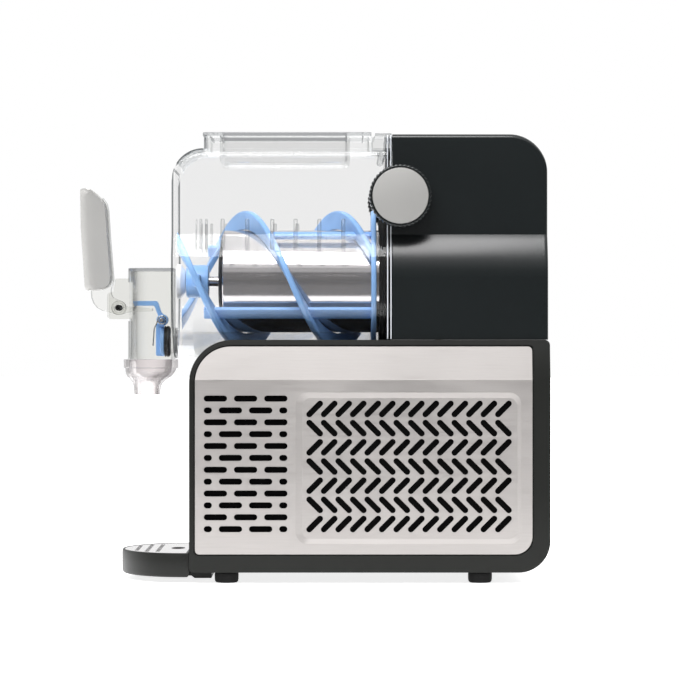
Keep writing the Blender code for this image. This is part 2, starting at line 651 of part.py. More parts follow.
def make_tank():
    tank = outline_solid("tank_shell", tank_section(0), "Y", TANK_FRONT, TANK_BACK - 5, CLEAR)
    side = rounded([(TANK_FRONT, 200, 0, 0), (90, 200, 0, 0), (90, TANK_TOP, 0, 0),
                    (TANK_FRONT, TANK_TOP, 30.0, 8)])
    trim = outline_solid("tank_side", side, "X", -90, 90, cutter=True)
    boolean(tank, trim, "INTERSECT")
    flange = outline_solid("tank_flange", housing_section(0.6, HOUSING_BOTTOM + 0.7), "Y", TANK_BACK - 6.5,
                           TANK_BACK, cutter=True)
    front, back, half = FILLER
    collar = box("filler_collar", (-48, front - 3, TANK_TOP - 2), (48, back + 3, COLLAR_TOP), cutter=True)
    hinge_block = box("hinge_block", (-34, 57.9, TANK_TOP - 2), (34, TANK_BACK, HOUSING_TOP - 0.4), cutter=True)
    join(tank, flange, collar, hinge_block)
    hollow = outline_solid("tank_hollow", tank_section(CLEAR_WALL), "Y", TANK_FRONT + FRONT_WALL, TANK_BACK + 5,
                           cutter=True)
    inner_side = rounded([(TANK_FRONT + FRONT_WALL, 205, 0, 0), (95, 205, 0, 0), (95, TANK_TOP - CLEAR_WALL, 0, 0),
                          (TANK_FRONT + FRONT_WALL, TANK_TOP - CLEAR_WALL, 27.0, 8)])
    inner_trim = outline_solid("tank_inner_side", inner_side, "X", -90, 90, cutter=True)
    boolean(hollow, inner_trim, "INTERSECT")
    filler = box("filler_hole", (-half, front, TANK_TOP - 8), (half, back, COLLAR_TOP + 5), cutter=True)
    outlet = rod("outlet_hole", 12.6, (0, TANK_FRONT - 10, 231.0), 20, "Y", cutter=True, sides=24)
    lid_relief = rod("lid_relief", 3.3, (-60, LID_HINGE[1], LID_HINGE[2]), 120, "X", cutter=True, sides=16)
    cut(tank, hollow, filler, outlet, lid_relief)
    boss = turned("front_boss", [(0, 0), (10, 0), (16.6, -4), (16.6, -10.0), (0, -10.0)], "Y",
                  (0, -124.0, AXIS_Z), steps=24, cutter=True)
    join(tank, boss)


def make_lid():
    """A rim plate with a pan let into it, hinged along its back edge, with a lip over the collar's front."""
    lid = box("fill_lid", (-47.5, -105.4, 428.2), (47.5, 57.2, LID_TOP), CLEAR)
    pan = outline_solid("lid_pan", rounded([(-89.3, 400.4, 5, 3), (36.6, 400.4, 5, 3), (36.6, 430, 0, 0),
                                            (-89.3, 430, 0, 0)]), "X", -38, 38, cutter=True)
    lip = box("lid_lip", (-20, -105.2, 416.8), (20, -102.2, LID_TOP - 1), cutter=True)
    well = box("lid_well", (-35.4, -86.7, 403.0), (35.4, 34.0, LID_TOP + 5), cutter=True)
    join(lid, pan, lip)
    cut(lid, well)
    hang("lid_axis", LID_HINGE, [lid])


def spout_outline(inset):
    """The spout from above: square against the tank and round in front."""
    radius = SPOUT_HALF - inset
    rear = TANK_FRONT - 0.3 - inset
    return arc((0, SPOUT_Y), radius, 180, 360, 12) + [(radius, rear), (-radius, rear)]


def make_nozzle():
    """The ring under the spout and its funnel, whose outlet is drawn forward."""
    profile = [(26.5, 212.7), (26.5, 204.5), (24.6, 203.8), (23.4, 199.5), (20.4, 195.0), (15.6, 190.5),
               (13.4, 187.0), (12.9, 178.3), (10.9, 178.3), (11.3, 187.0), (13.4, 191.8), (18.6, 196.6),
               (20.8, 200.5), (21.0, 212.7)]
    mesh = bpy.data.meshes.new("spout_nozzle")
    form = bmesh.new()
    rings = []
    for radius, z in profile:
        forward = NOZZLE_SHIFT * min(1.0, max(0.0, (203.8 - z) / 16.8))
        circle = arc((0, SPOUT_Y - forward), radius, 0, 352.5, 47)
        rings.append([form.verts.new((x * MM, y * MM, z * MM)) for x, y in circle])
    for one, two in zip(rings, rings[1:] + rings[:1]):
        for i in range(len(one)):
            form.faces.new((one[i - 1], one[i], two[i], two[i - 1]))
    bmesh.ops.recalc_face_normals(form, faces=form.faces)
    form.to_mesh(mesh)
    form.free()
    place("spout_nozzle", mesh, CLEAR)


def make_spout():
    body = outline_solid("spout_body", spout_outline(0), "Z", 213.0, 301.5, CLEAR)
    for sign in (1, -1):
        near, far = sorted((sign * 9.0, sign * 12.5))
        ear = outline_solid("ear", rounded([(-176, 291.5, 3, 2), (-193.0, 291.5, 2, 2), (-194.4, 279.4, 2, 2),
                                            (-199.5, 276.4, 2, 2), (-199.5, 252, 3, 2), (-176, 252, 3, 2)]), "X", near, far, cutter=True)
        join(body, ear)
    hollow = outline_solid("spout_hollow", spout_outline(2.6), "Z", 205, 298.6, cutter=True)
    slot = box("lever_slot", (-8.4, -185, 250), (8.4, -172, 288), cutter=True)
    outlet = rod("spout_outlet", 12.6, (0, -145, 231.0), 20, "Y", cutter=True, sides=24)
    lever_hole = rod("lever_pin_hole", 2.2, (-30, *LEVER_PIVOT[1:]), 60, "X", cutter=True, sides=16)
    valve_hole = rod("valve_pin_hole", 2.2, (-30, *VALVE_PIVOT[1:]), 60, "X", cutter=True, sides=16)
    cut(body, hollow, slot, outlet, lever_hole, valve_hole)
    make_nozzle()
    rod("lever_pin", 1.9, (-13.4, *LEVER_PIVOT[1:]), 26.8, "X", RUBBER, sides=16)
    rod("valve_pin", 1.9, (-21.6, *VALVE_PIVOT[1:]), 43.2, "X", POLISHED, sides=16)


def make_lever():
    """The clear lever, with a plate up the handle's back, and the silver grip over it."""
    grip = outline_solid("lever_handle", [(-226.9, 378.9), (-217.6, 379.1), (-211.2, 374.8), (-205.6, 369.1),
                                          (-202.0, 363.5), (-200.6, 357.7), (-198.9, 330.6), (-195.8, 293.0),
                                          (-197.7, 285.2), (-202.7, 281.4), (-207.7, 280.2), (-221.3, 279.9),
                                          (-222.6, 284.0), (-226.4, 340.0)],
                         "X", -17, 17, SILVER)
    _, pivot_y, pivot_z = LEVER_PIVOT
    arm = outline_solid("lever_arm", [(-156.0, 259.7), (-156.0, 262.3), (-180.0, 263.8)]
                        + arc((pivot_y, pivot_z), 7.0, 15, 75, 3)
                        + [(-194.2, 272.5), (-197.2, 278.6), (-195.4, 285.2), (-194.0, 292.6),
                           (-197.1, 330.6), (-198.9, 358.0), (-200.4, 364.6), (-204.4, 370.4),
                            (-205.1, 369.6), (-201.6, 363.8), (-200.2, 357.7), (-198.5, 330.6),
                            (-195.4, 292.8), (-197.3, 284.8), (-202.4, 280.9), (-207.8, 279.7),
                            (-216.0, 279.5), (-210.0, 268.0), (-201.0, 259.5)]
                        + arc((pivot_y, pivot_z), 7.0, 250, 290, 2) + [(-180.0, 258.6)],
                        "X", -7.6, 7.6, CLEAR)
    cut(arm, rod("arm_bore", 2.1, (-20, pivot_y, pivot_z), 40, "X", cutter=True, sides=16))
    hang("lever_axis", LEVER_PIVOT, [grip, arm])


def make_valve():
    """The blue rocker that the lever lifts, and the rubber seal it holds against the outlet."""
    _, pivot_y, pivot_z = VALVE_PIVOT
    rocker = outline_solid("valve_rocker", [(-175.4, 265.0), (-154.3, 265.0), (-150.6, 255.8), (-152.6, 245.0),
                                            (-152.6, 216.0), (-144.6, 216.0), (-144.6, 245.0)]
                           + arc((pivot_y, pivot_z), 5.6, -70, 80, 6)
                           + [(-150.2, 266.5), (-151.0, 269.6), (-175.4, 269.6)], "X", -5.0, 5.0, BLUE)
    flap = rod("valve_flap", 14.6, (0, -148.4, 230.2), 4.0, "Y", cutter=True, sides=24)
    boss = rod("valve_boss", 5.6, (-9, pivot_y, pivot_z), 18, "X", cutter=True, sides=20)
    join(rocker, flap, boss)
    cut(rocker, rod("rocker_bore", 2.1, (-20, pivot_y, pivot_z), 40, "X", cutter=True, sides=16))
    seal = turned("valve_seal", [(0, 5.6), (14.2, 5.6), (15.2, 4.2), (15.2, 0), (0, 0)], "Y",
                  (0, -144.1, 230.2), RUBBER, steps=24)
    hang("valve_axis", VALVE_PIVOT, [rocker, seal])
    coil = []
    for step in range(25):
        angle = math.radians(180 + 30 * step)
        coil.append((10.4 + step * 0.18, pivot_y + 4.0 * math.cos(angle), pivot_z + 4.0 * math.sin(angle)))
    leg = [(15.6, -151.2, 247.5), (16.6, -153.6, 243.0), (16.8, -154.8, 226.0)]
    tube("valve_spring", coil + leg, 0.6, POLISHED, smooth=1, sides=1)


# Knobs

def make_knob(side, sign):
    """A fluted ring with a flat disc let into its face, on a shaft through the housing's side."""
    along = "X" if sign > 0 else "-X"
    points = []
    for step in range(2 * KNOB_FLUTES):
        radius = KNOB_R if step % 2 == 0 else KNOB_R - 1.4
        angle = math.pi * step / KNOB_FLUTES
        points.append((KNOB_Y + radius * math.cos(angle), KNOB_Z + radius * math.sin(angle)))
    near, far = sorted((sign * 68.8, sign * (KNOB_FACE - 0.8)))
    ring = outline_solid("knob_ring_" + side, points, "X", near, far, BLACK)
    recess = rod("disc_recess", 27.0, (sign * 89.4, KNOB_Y, KNOB_Z), 10, along, cutter=True, sides=32)
    hole = rod("shaft_hole", 3.6, (sign * 60, KNOB_Y, KNOB_Z), 40, along, cutter=True, sides=16)
    cut(ring, recess, hole)
    disc = turned("knob_disc_" + side, [(0, 2.3), (26.0, 2.3), (26.6, 1.7), (26.6, 0), (0, 0)], along,
                  (sign * 89.7, KNOB_Y, KNOB_Z), SILVER, steps=24)
    shaft = rod("knob_shaft_" + side, 3.3, (sign * 56, KNOB_Y, KNOB_Z), 33.4, along, METAL, sides=16)
    cam_low, cam_high = sorted((sign * 56, sign * 59.5))
    cam = box("knob_cam", (cam_low, KNOB_Y - 2, KNOB_Z - 3), (cam_high, KNOB_Y + 16, KNOB_Z + 3), cutter=True)
    join(shaft, cam)
    hang("knob_axis_" + side, (sign * 80, KNOB_Y, KNOB_Z), [ring, disc, shaft])


# Drip tray

def make_tray():
    tray = outline_solid("drip_tray", tray_outline(0), "Z", TRAY_BOTTOM, TRAY_TOP, CASING)
    well = outline_solid("tray_well", tray_outline(5.0), "Z", TRAY_BOTTOM + 3, TRAY_TOP + 5, cutter=True)
    ledge = outline_solid("tray_ledge", tray_outline(2.4), "Z", TRAY_TOP - 3, TRAY_TOP + 5, cutter=True)
    tongue = outline_solid("tray_tongue", [(-96, 4.6), (-96, 10.1), (-121, 10.1), (-121, 7.2), (-115.5, 7.2),
                                           (-112.5, 4.6)], "X", -60, 60, cutter=True)
    cut(tray, well, ledge)
    join(tray, tongue)
    slots = []
    for row, count in enumerate((2, 3, 3)):
        y = -172.0 + 10.5 * row
        for column in range(-count, count + 1):
            middle = column * 16.0
            slots.append([(middle - 6, y), (middle + 6, y), (middle + 6, y + 5), (middle - 6, y + 5)])
    finger = arc((0, -131.0), 15.0, 0, 330, 11, 0.45)
    grille = outline_solid("tray_grille", [tray_outline(2.8)] + slots + [finger], "Z", TRAY_TOP - 2.7,
                           TRAY_TOP - 0.9, POLISHED)
    hang("tray_axis", (0, TRAY_BACK, TRAY_BOTTOM), [tray])
    hang("grille_axis", (0, TRAY_BACK, TRAY_TOP), [grille])


base = make_base()
make_back(base)
make_controls(base)
make_cooling()
make_housing()
make_drive()
make_drum()
make_auger()
make_tank()
make_lid()
make_spout()
make_lever()
make_valve()
make_knob("right", 1)
make_knob("left", -1)
make_tray()
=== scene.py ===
import bpy
import bmesh
import math
from mathutils import Matrix, Vector


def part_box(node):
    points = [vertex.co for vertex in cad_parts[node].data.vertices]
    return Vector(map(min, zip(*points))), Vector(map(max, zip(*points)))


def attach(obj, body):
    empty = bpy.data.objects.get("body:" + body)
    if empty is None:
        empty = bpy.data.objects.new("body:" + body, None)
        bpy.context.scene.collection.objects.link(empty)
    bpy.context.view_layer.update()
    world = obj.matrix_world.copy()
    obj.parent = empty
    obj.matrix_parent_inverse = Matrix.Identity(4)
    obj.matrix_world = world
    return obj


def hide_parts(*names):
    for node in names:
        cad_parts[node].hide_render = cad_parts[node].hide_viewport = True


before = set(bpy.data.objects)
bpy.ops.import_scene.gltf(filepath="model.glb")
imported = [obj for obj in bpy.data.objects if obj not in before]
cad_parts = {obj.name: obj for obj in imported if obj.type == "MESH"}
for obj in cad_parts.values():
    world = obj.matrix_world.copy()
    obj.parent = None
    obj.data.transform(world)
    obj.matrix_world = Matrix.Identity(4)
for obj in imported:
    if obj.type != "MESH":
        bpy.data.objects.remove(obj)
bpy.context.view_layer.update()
print("cad model loaded")

# sizes are in millimetres up to addPiece, which brings them to metres
axisZ = 288.7  # the axis that the drum and the auger share

# where a point (a, b) of a flat outline goes, t along the named axis
waysOut = {
    "X": lambda a, b, t: (t, a, b),
    "Y": lambda a, b, t: (a, t, b),
    "Z": lambda a, b, t: (a, b, t),
}


# small modelling helpers

def arcPoints(centre, radius, start, end, steps):
    angles = [math.radians(start + (end - start) * i / steps) for i in range(steps + 1)]
    return [(centre[0] + radius * math.cos(a), centre[1] + radius * math.sin(a)) for a in angles]


# corners are (across, up, radius), each rounded by an arc
def roundedPoints(corners, steps=10):
    points = []
    for i, (across, up, radius) in enumerate(corners):
        here = Vector((across, up))
        if radius <= 0:
            points.append((across, up))
            continue
        before = (Vector(corners[i - 1][:2]) - here).normalized()
        after = (Vector(corners[(i + 1) % len(corners)][:2]) - here).normalized()
        half = before.angle(after) / 2
        centre = here + (before + after).normalized() * radius / math.sin(half)
        begin = here + before * radius / math.tan(half) - centre
        sweep = begin.angle_signed(here + after * radius / math.tan(half) - centre)
        for step in range(steps + 1):
            points.append(tuple(centre + Matrix.Rotation(-sweep * step / steps, 2) @ begin))
    return points


def boxPoints(left, low, right, high, radius, steps=8):
    return roundedPoints([(left, low, radius), (right, low, radius), (right, high, radius),
                          (left, high, radius)], steps)


# a slot with round ends, tilted about its middle
def slotPoints(across, up, long, high, tilt=0.0):
    reach = long / 2 - high / 2
    points = arcPoints((reach, 0), high / 2, -90, 90, 8) + arcPoints((-reach, 0), high / 2, 90, 270, 8)
    turn = Matrix.Rotation(math.radians(tilt), 2)
    return [tuple(turn @ Vector(p) + Vector((across, up))) for p in points]


def prism(outline, axis, low, high):
    form = bmesh.new()
    out = waysOut[axis]
    face = form.faces.new([form.verts.new(out(a, b, low)) for a, b in outline])
    grown = bmesh.ops.extrude_face_region(form, geom=[face])
    moved = [v for v in grown["geom"] if isinstance(v, bmesh.types.BMVert)]
    bmesh.ops.translate(form, vec=out(0, 0, high - low), verts=moved)
    bmesh.ops.recalc_face_normals(form, faces=form.faces)
    return form


def block(low, high, bevel=0.0, segments=3, form=None, turn=None):
    made = bmesh.new()
    bmesh.ops.create_cube(made, size=1)
    bmesh.ops.scale(made, vec=[high[i] - low[i] for i in range(3)], verts=made.verts)
    bmesh.ops.translate(made, vec=[(high[i] + low[i]) / 2 for i in range(3)], verts=made.verts)
    if bevel:
        bmesh.ops.bevel(made, geom=made.edges[:], offset=bevel, affect="EDGES", segments=segments,
                        profile=0.5, material=-1)
    if turn:
        bmesh.ops.transform(made, matrix=turn, verts=made.verts)
    return merged(form, made)


# a turned shape about an axis through start; the profile is (radius, along)
def turned(profile, axis, start, steps=64, form=None, closed=False):
    made = bmesh.new()
    verts = [made.verts.new((radius, 0, along)) for radius, along in profile]
    pairs = list(zip(verts, verts[1:])) + ([(verts[-1], verts[0])] if closed else [])
    edges = [made.edges.new(pair) for pair in pairs]
    bmesh.ops.spin(made, geom=verts + edges, cent=(0, 0, 0), axis=(0, 0, 1), angle=math.tau, steps=steps,
                   use_merge=True, use_duplicate=False)
    welded(made)
    turn = {"Z": Matrix.Identity(4), "X": Matrix.Rotation(math.pi / 2, 4, "Y"),
            "-X": Matrix.Rotation(-math.pi / 2, 4, "Y"), "Y": Matrix.Rotation(-math.pi / 2, 4, "X"),
            "-Y": Matrix.Rotation(math.pi / 2, 4, "X")}[axis]
    bmesh.ops.transform(made, matrix=Matrix.Translation(start) @ turn, verts=made.verts)
    return merged(form, made)


def rod(radius, long, axis, start, steps=64):
    return turned([(0, 0), (radius, 0), (radius, long), (0, long)], axis, start, steps)


# loops of points skinned one to the next; capped closes both ends
def skinned(loops, capped=True, closed=False, form=None):
    made = bmesh.new()
    rings = [[made.verts.new(p) for p in loop] for loop in loops]
    count = len(rings[0])
    pairs = list(zip(rings, rings[1:])) + ([(rings[-1], rings[0])] if closed else [])
    for one, two in pairs:
        for i in range(count):
            j = (i + 1) % count
            made.faces.new((one[i], one[j], two[j], two[i]))
    if capped:
        made.faces.new(rings[0])
        made.faces.new(rings[-1])
    welded(made)
    bmesh.ops.recalc_face_normals(made, faces=made.faces)
    return merged(form, made)


def merged(form, made):
    bmesh.ops.recalc_face_normals(made, faces=made.faces)
    if form is None:
        return made
    mesh = bpy.data.meshes.new("joined")
    made.to_mesh(mesh)
    made.free()
    form.from_mesh(mesh)
    bpy.data.meshes.remove(mesh)
    return form


# one flat face across a ring of points
def closeRing(form, ring):
    made = bmesh.new()
    made.faces.new([made.verts.new(p) for p in ring])
    merged(form, made)


def sliced(form, place, normal, clear=False):
    return bmesh.ops.bisect_plane(form, geom=form.verts[:] + form.edges[:] + form.faces[:], plane_co=place,
                                  plane_no=normal, clear_inner=clear)


def welded(form, dist=0.0005):
    bmesh.ops.remove_doubles(form, verts=form.verts, dist=dist)


# an outer and an inner skin: joined at the ends named by mouth (0 or -1), each closed at its other end
def shell(outer, inner, mouth):
    form = skinned(outer, capped=False)
    merged(form, skinned(inner, capped=False))
    merged(form, skinned([outer[mouth], inner[mouth]], capped=False))
    closeRing(form, outer[-1 - mouth])
    closeRing(form, inner[-1 - mouth])
    welded(form, 0.001)
    bmesh.ops.recalc_face_normals(form, faces=form.faces)
    return form


def bareObject(form, name="loose"):
    mesh = bpy.data.meshes.new(name)
    form.to_mesh(mesh)
    form.free()
    made = bpy.data.objects.new(name, mesh)
    bpy.context.scene.collection.objects.link(made)
    return made


def carved(form, cutters, operation="DIFFERENCE"):
    target = bareObject(form)
    tools = [bareObject(cutter) for cutter in cutters]
    for tool in tools:
        step = target.modifiers.new("cut", "BOOLEAN")
        step.operation = operation
        step.solver = "EXACT"
        step.object = tool
    shape = target.evaluated_get(bpy.context.evaluated_depsgraph_get())
    mesh = bpy.data.meshes.new_from_object(shape)
    result = bmesh.new()
    result.from_mesh(mesh)
    for made in [target] + tools:
        bpy.data.objects.remove(made)
    return result


# a flat sheet with holes, from outlines in the plane across an axis
# a thickness goes to both sides of its place
def sheetWithHoles(outlines, axis, place, thick=0.0):
    curve = bpy.data.curves.new("sheet", "CURVE")
    curve.dimensions = "2D"
    curve.fill_mode = "BOTH"
    curve.extrude = thick / 2
    for outline in outlines:
        spline = curve.splines.new("POLY")
        spline.points.add(len(outline) - 1)
        for point, (a, b) in zip(spline.points, outline):
            point.co = (a, b, 0, 1)
        spline.use_cyclic_u = True
    flat = bpy.data.objects.new("sheet", curve)
    bpy.context.scene.collection.objects.link(flat)
    mesh = bpy.data.meshes.new_from_object(flat.evaluated_get(bpy.context.evaluated_depsgraph_get()))
    bpy.data.objects.remove(flat)
    form = bmesh.new()
    form.from_mesh(mesh)
    welded(form)
    out = waysOut[axis]
    for vert in form.verts:
        vert.co = out(vert.co.x, vert.co.y, vert.co.z + place)
    bmesh.ops.recalc_face_normals(form, faces=form.faces)
    return form


def addPiece(name, form, paint, body, replaced=(), angle=30, bevel=0.0):
    bmesh.ops.scale(form, vec=(0.001, 0.001, 0.001), verts=form.verts)
    piece = bareObject(form, name)
    for shade in paint if isinstance(paint, list) else [paint]:
        piece.data.materials.append(shade)
    piece.data.shade_smooth()
    piece.data.set_sharp_from_angle(angle=math.radians(angle))
    if bevel:
        rounding = piece.modifiers.new("edge", "BEVEL")
        rounding.width = bevel * 0.001
        rounding.segments = 2
        rounding.limit_method = "ANGLE"
        rounding.angle_limit = math.radians(40)
        rounding.harden_normals = True
    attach(piece, body)
    if replaced:
        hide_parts(*replaced)


# the finer twin of a simple CAD node: merged, smoothed and given soft edges
def softened(node, name, paint, body, bevel=0.4, angle=35):
    form = bmesh.new()
    form.from_mesh(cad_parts[node].data)
    bmesh.ops.scale(form, vec=(1000, 1000, 1000), verts=form.verts)
    welded(form, 0.01)
    bmesh.ops.dissolve_limit(form, angle_limit=0.01, verts=form.verts, edges=form.edges)
    addPiece(name, form, paint, body, [node], angle, bevel)


# materials

def linear(tint):
    shades = [int(tint[i:i + 2], 16) / 255 for i in (0, 2, 4)]
    return tuple(s / 12.92 if s <= 0.04045 else ((s + 0.055) / 1.055) ** 2.4 for s in shades) + (1.0,)


def addNode(tree, kind, wires=None, **settings):
    node = tree.nodes.new("ShaderNode" + kind)
    for key, value in settings.items():
        setattr(node, key, value)
    for socket, source in (wires or {}).items():
        if isinstance(source, bpy.types.NodeSocket):
            tree.links.new(source, node.inputs[socket])
        else:
            node.inputs[socket].default_value = source
    return node


def emptyMaterial(name):
    made = bpy.data.materials.new(name)
    made.use_nodes = True
    made.node_tree.nodes.clear()
    return made, made.node_tree


# a fine grain and a slow drift under every opaque finish; stretch draws the grain out along an axis
# grain counts specks to the metre: 1000 makes them a millimetre, coarser than real ones, so that they show
def solidFinish(name, tint, rough, metal=0.0, grain=900.0, stretch=(1, 1, 1), bump=0.06, vary=0.05,
                drift=0.05, coat=0.0, shine=0.5):
    made, tree = emptyMaterial(name)
    coords = addNode(tree, "TexCoord").outputs["Object"]
    drawn = addNode(tree, "Mapping", {"Vector": coords, "Scale": stretch}).outputs[0]
    fine = addNode(tree, "TexNoise", {"Vector": drawn, "Scale": grain, "Detail": 4.0,
                                      "Roughness": 0.6}).outputs[0]
    slow = addNode(tree, "TexNoise", {"Vector": coords, "Scale": 14.0, "Detail": 3.0}).outputs[0]
    roughFine = addNode(tree, "MapRange", {0: fine, 1: 0.3, 2: 0.7, 3: rough - vary,
                                           4: rough + vary}).outputs[0]
    roughSlow = addNode(tree, "MapRange", {0: slow, 1: 0.3, 2: 0.7, 3: -0.5 * vary,
                                           4: 0.5 * vary}).outputs[0]
    roughAll = addNode(tree, "Math", {0: roughSlow, 1: roughFine}, operation="ADD",
                       use_clamp=True).outputs[0]
    base = linear(tint)
    low = tuple(c * (1 - drift) for c in base[:3]) + (1.0,)
    high = tuple(min(1.0, c * (1 + drift)) for c in base[:3]) + (1.0,)
    colour = addNode(tree, "Mix", {0: slow, 6: low, 7: high}, data_type="RGBA").outputs[2]
    relief = addNode(tree, "Bump", {"Height": fine, "Strength": bump, "Distance": 0.0002}).outputs[0]
    shader = addNode(tree, "BsdfPrincipled", {
        "Base Color": colour, "Roughness": roughAll, "Metallic": metal, "Normal": relief,
        "Coat Weight": coat, "Coat Roughness": 0.08, "Specular IOR Level": shine})
    addNode(tree, "OutputMaterial", {"Surface": shader.outputs[0]})
    return made


# clear plastic: light goes straight through a thin wall, and edges seen end-on are tinted darker by facing,
# painted shade for the dark that refraction gives them
def clearFinish(name, face, edge, gloss=0.05, bite=0.35, polish=0.35):
    made, tree = emptyMaterial(name)
    coords = addNode(tree, "TexCoord").outputs["Object"]
    haze = addNode(tree, "TexNoise", {"Vector": coords, "Scale": 60.0, "Detail": 3.0}).outputs[0]
    smear = addNode(tree, "MapRange", {0: haze, 1: 0.3, 2: 0.7, 3: gloss * 0.6, 4: gloss * 1.5}).outputs[0]
    ripple = addNode(tree, "Bump", {"Height": haze, "Strength": 0.05, "Distance": 0.0003}).outputs[0]
    facing = addNode(tree, "LayerWeight", {"Blend": bite}).outputs["Facing"]
    tone = addNode(tree, "Mix", {0: facing, 6: linear(face), 7: linear(edge)}, data_type="RGBA").outputs[2]
    through = addNode(tree, "BsdfTransparent", {"Color": tone})
    shine = addNode(tree, "BsdfGlossy", {"Color": (1, 1, 1, 1), "Roughness": smear, "Normal": ripple})
    fresnel = addNode(tree, "Fresnel", {"IOR": 1.45}).outputs[0]
    share = addNode(tree, "MapRange", {0: fresnel, 1: 0.0, 2: 1.0, 3: 0.0, 4: polish}).outputs[0]
    mixed = addNode(tree, "MixShader", {0: share, 1: through.outputs[0], 2: shine.outputs[0]})
    addNode(tree, "OutputMaterial", {"Surface": mixed.outputs[0]})
    return made


# grey ABS from a spark-eroded mould: matt, with a fine even grain
casingGrey = solidFinish("mouldedAbsGrey", "161715", 0.42, grain=1500, bump=0.12, shine=0.25)
# black ABS from a polished mould: smooth, with broad soft highlights
satinBlack = solidFinish("mouldedAbsSatinBlack", "0f1415", 0.24, grain=1200, bump=0.05, vary=0.03)
# stainless sheet, brushed level: soft grey, its grain drawn out from front to back
brushedSteel = solidFinish("brushedStainlessSheet", "b4b0ae", 0.5, metal=0.9, grain=900, stretch=(1, 0.03, 1),
                           bump=0.08, vary=0.08, drift=0.015)
# stainless tube, polished: a mirror with hardly a mark
polishedSteel = solidFinish("polishedStainlessTube", "c6c3c4", 0.12, metal=0.92, grain=500,
                            stretch=(1, 0.1, 1), bump=0.02, vary=0.03, drift=0.02)
# food-grade polyethylene, moulded: waxy light blue
augerBlue = solidFinish("mouldedBluePolyethylene", "8db9ee", 0.34, grain=700, bump=0.06)
# silver paint sprayed over ABS: a fine speck under a dull shine
silverPaint = solidFinish("silverPaintOverAbs", "a8a7a5", 0.42, metal=0.4, grain=2600, bump=0.1, vary=0.05)
# nitrile rubber, moulded: black with nearly no shine
blackRubber = solidFinish("mouldedNitrileRubber", "060606", 0.7, grain=1000, bump=0.15, vary=0.08, shine=0.3)
# silicone, moulded: dark grey and half matt
darkSilicone = solidFinish("mouldedSiliconeSeal", "303133", 0.5, grain=900, bump=0.08)
# painted shade for the dark inside seen through the vents: a black sheet, given as woven polyester so fine
# that it looks like one black sheet
shadeSheetBlack = solidFinish("blackVentShadeSheet", "050505", 0.9, grain=1600, bump=0.3, vary=0.05, shine=0.05)
# zinc-plated steel, pressed: a dull grey metal
plainMetal = solidFinish("zincPlatedSteel", "77787a", 0.42, metal=1.0, grain=500)
# black enamel, sprayed: half gloss and slightly uneven
compressorPaint = solidFinish("sprayedBlackEnamel", "141516", 0.4, grain=600, bump=0.12)
# copper tube, drawn: a warm metal with faint lines along it
copperTube = solidFinish("drawnCopperTube", "b0714c", 0.36, metal=1.0, grain=600, stretch=(1, 0.2, 1))
# glass-epoxy circuit board under solder mask: a flat green
circuitGreen = solidFinish("solderMaskedBoard", "14502c", 0.45, grain=800)
# black acrylic, polished: deep black with sharp reflections
glossBlack = solidFinish("polishedBlackAcrylic", "0f1012", 0.1, grain=600, bump=0.01, vary=0.02, coat=0.4)
# polycarbonate, injection moulded: nothing to see face on, a thin line of painted shade at a turned edge
clearWall = clearFinish("clearPolycarbonateWall", "fbfbfb", "eeefef", 0.05, 0.15)
# the same wall seen through its length, as along the top and the front edge: grey, partly the plastic's own
# tint through that length and partly painted shade for the dark that refraction gives there
clearRimShade = clearFinish("clearPolycarbonateRimShade", "8f9293", "828688", 0.05, 0.2)
# the flat front wall: clear, with hardly a reflection
clearFront = clearFinish("clearPolycarbonateFront", "fbfbfb", "f8f8f8", 0.02, 0.2, polish=0.04)
# ribs and flanges, thicker: light grey painted shade at their edges
clearRib = clearFinish("clearPolycarbonateRib", "f1f1f1", "b4b7b8", 0.05, 0.3)
# the nozzle: clear and a little warm, with painted shade at its edges
clearNozzle = clearFinish("clearPolycarbonateNozzle", "f8f6f6", "bdbcbd", 0.05, 0.3)
# the thin walls of the spout and the lever: clear, with painted shade darkening their edges
clearThin = clearFinish("clearPolycarbonateThin", "f9f9f8", "8f9292", 0.05, 0.2)
# rims where light runs along the sheet: an even pale grey
clearEdge = clearFinish("clearPolycarbonateCutEdge", "d2d3d4", "b0b2b3", 0.05, 0.2)
# the same plastic so narrow or so thick that it scatters white and can't be seen through
clearFrost = solidFinish("clearPolycarbonateBead", "c3c7cd", 0.3, grain=500, bump=0.03)
clearMilky = solidFinish("clearPolycarbonateThick", "fafafa", 0.2, grain=400, bump=0.02)
print("materials ready")


# base: a wide casing whose sides lean inward above a crease

base = {"half": 90, "wall": 2.8, "front": -116.5, "back": 226.9, "low": 10.5, "top": 231.7,
        "crease": 193.5, "lean": 8, "leanHeight": 38.2}
panel = {"front": -110.8, "back": 209.8, "low": 27.8, "top": 225.3, "sheet": 0.9, "sunk": 0.2}
buttons = {"across": (-32, 0, 32), "up": 116, "hole": 8.6}


def leanAt(z):
    return max(0, z - base["crease"]) * base["lean"] / base["leanHeight"]


def creased(form):
    sliced(form, (0, 0, base["crease"]), (0, 0, 1))
    for vert in form.verts:
        vert.co.x -= math.copysign(leanAt(vert.co.z), vert.co.x)
    return form


def baseOutline(inset):
    front, back = base["front"] + inset, base["back"] - inset
    low, top = base["low"] + inset, base["top"] - inset
    return roundedPoints([(front, low, max(4 - inset, 0.8)), (back, low, 30 - inset),
                          (back, top, max(5 - inset, 0.8)), (front, top, 41 - inset)], 18)


def panelOutline(inset):
    front, back = panel["front"] + inset, panel["back"] - inset
    low, top = panel["low"] + inset, panel["top"] - inset
    return roundedPoints([(front, low, 4), (back, low, 17 - inset / 2), (back, top, 4),
                          (front, top, 34 - inset)], 18)


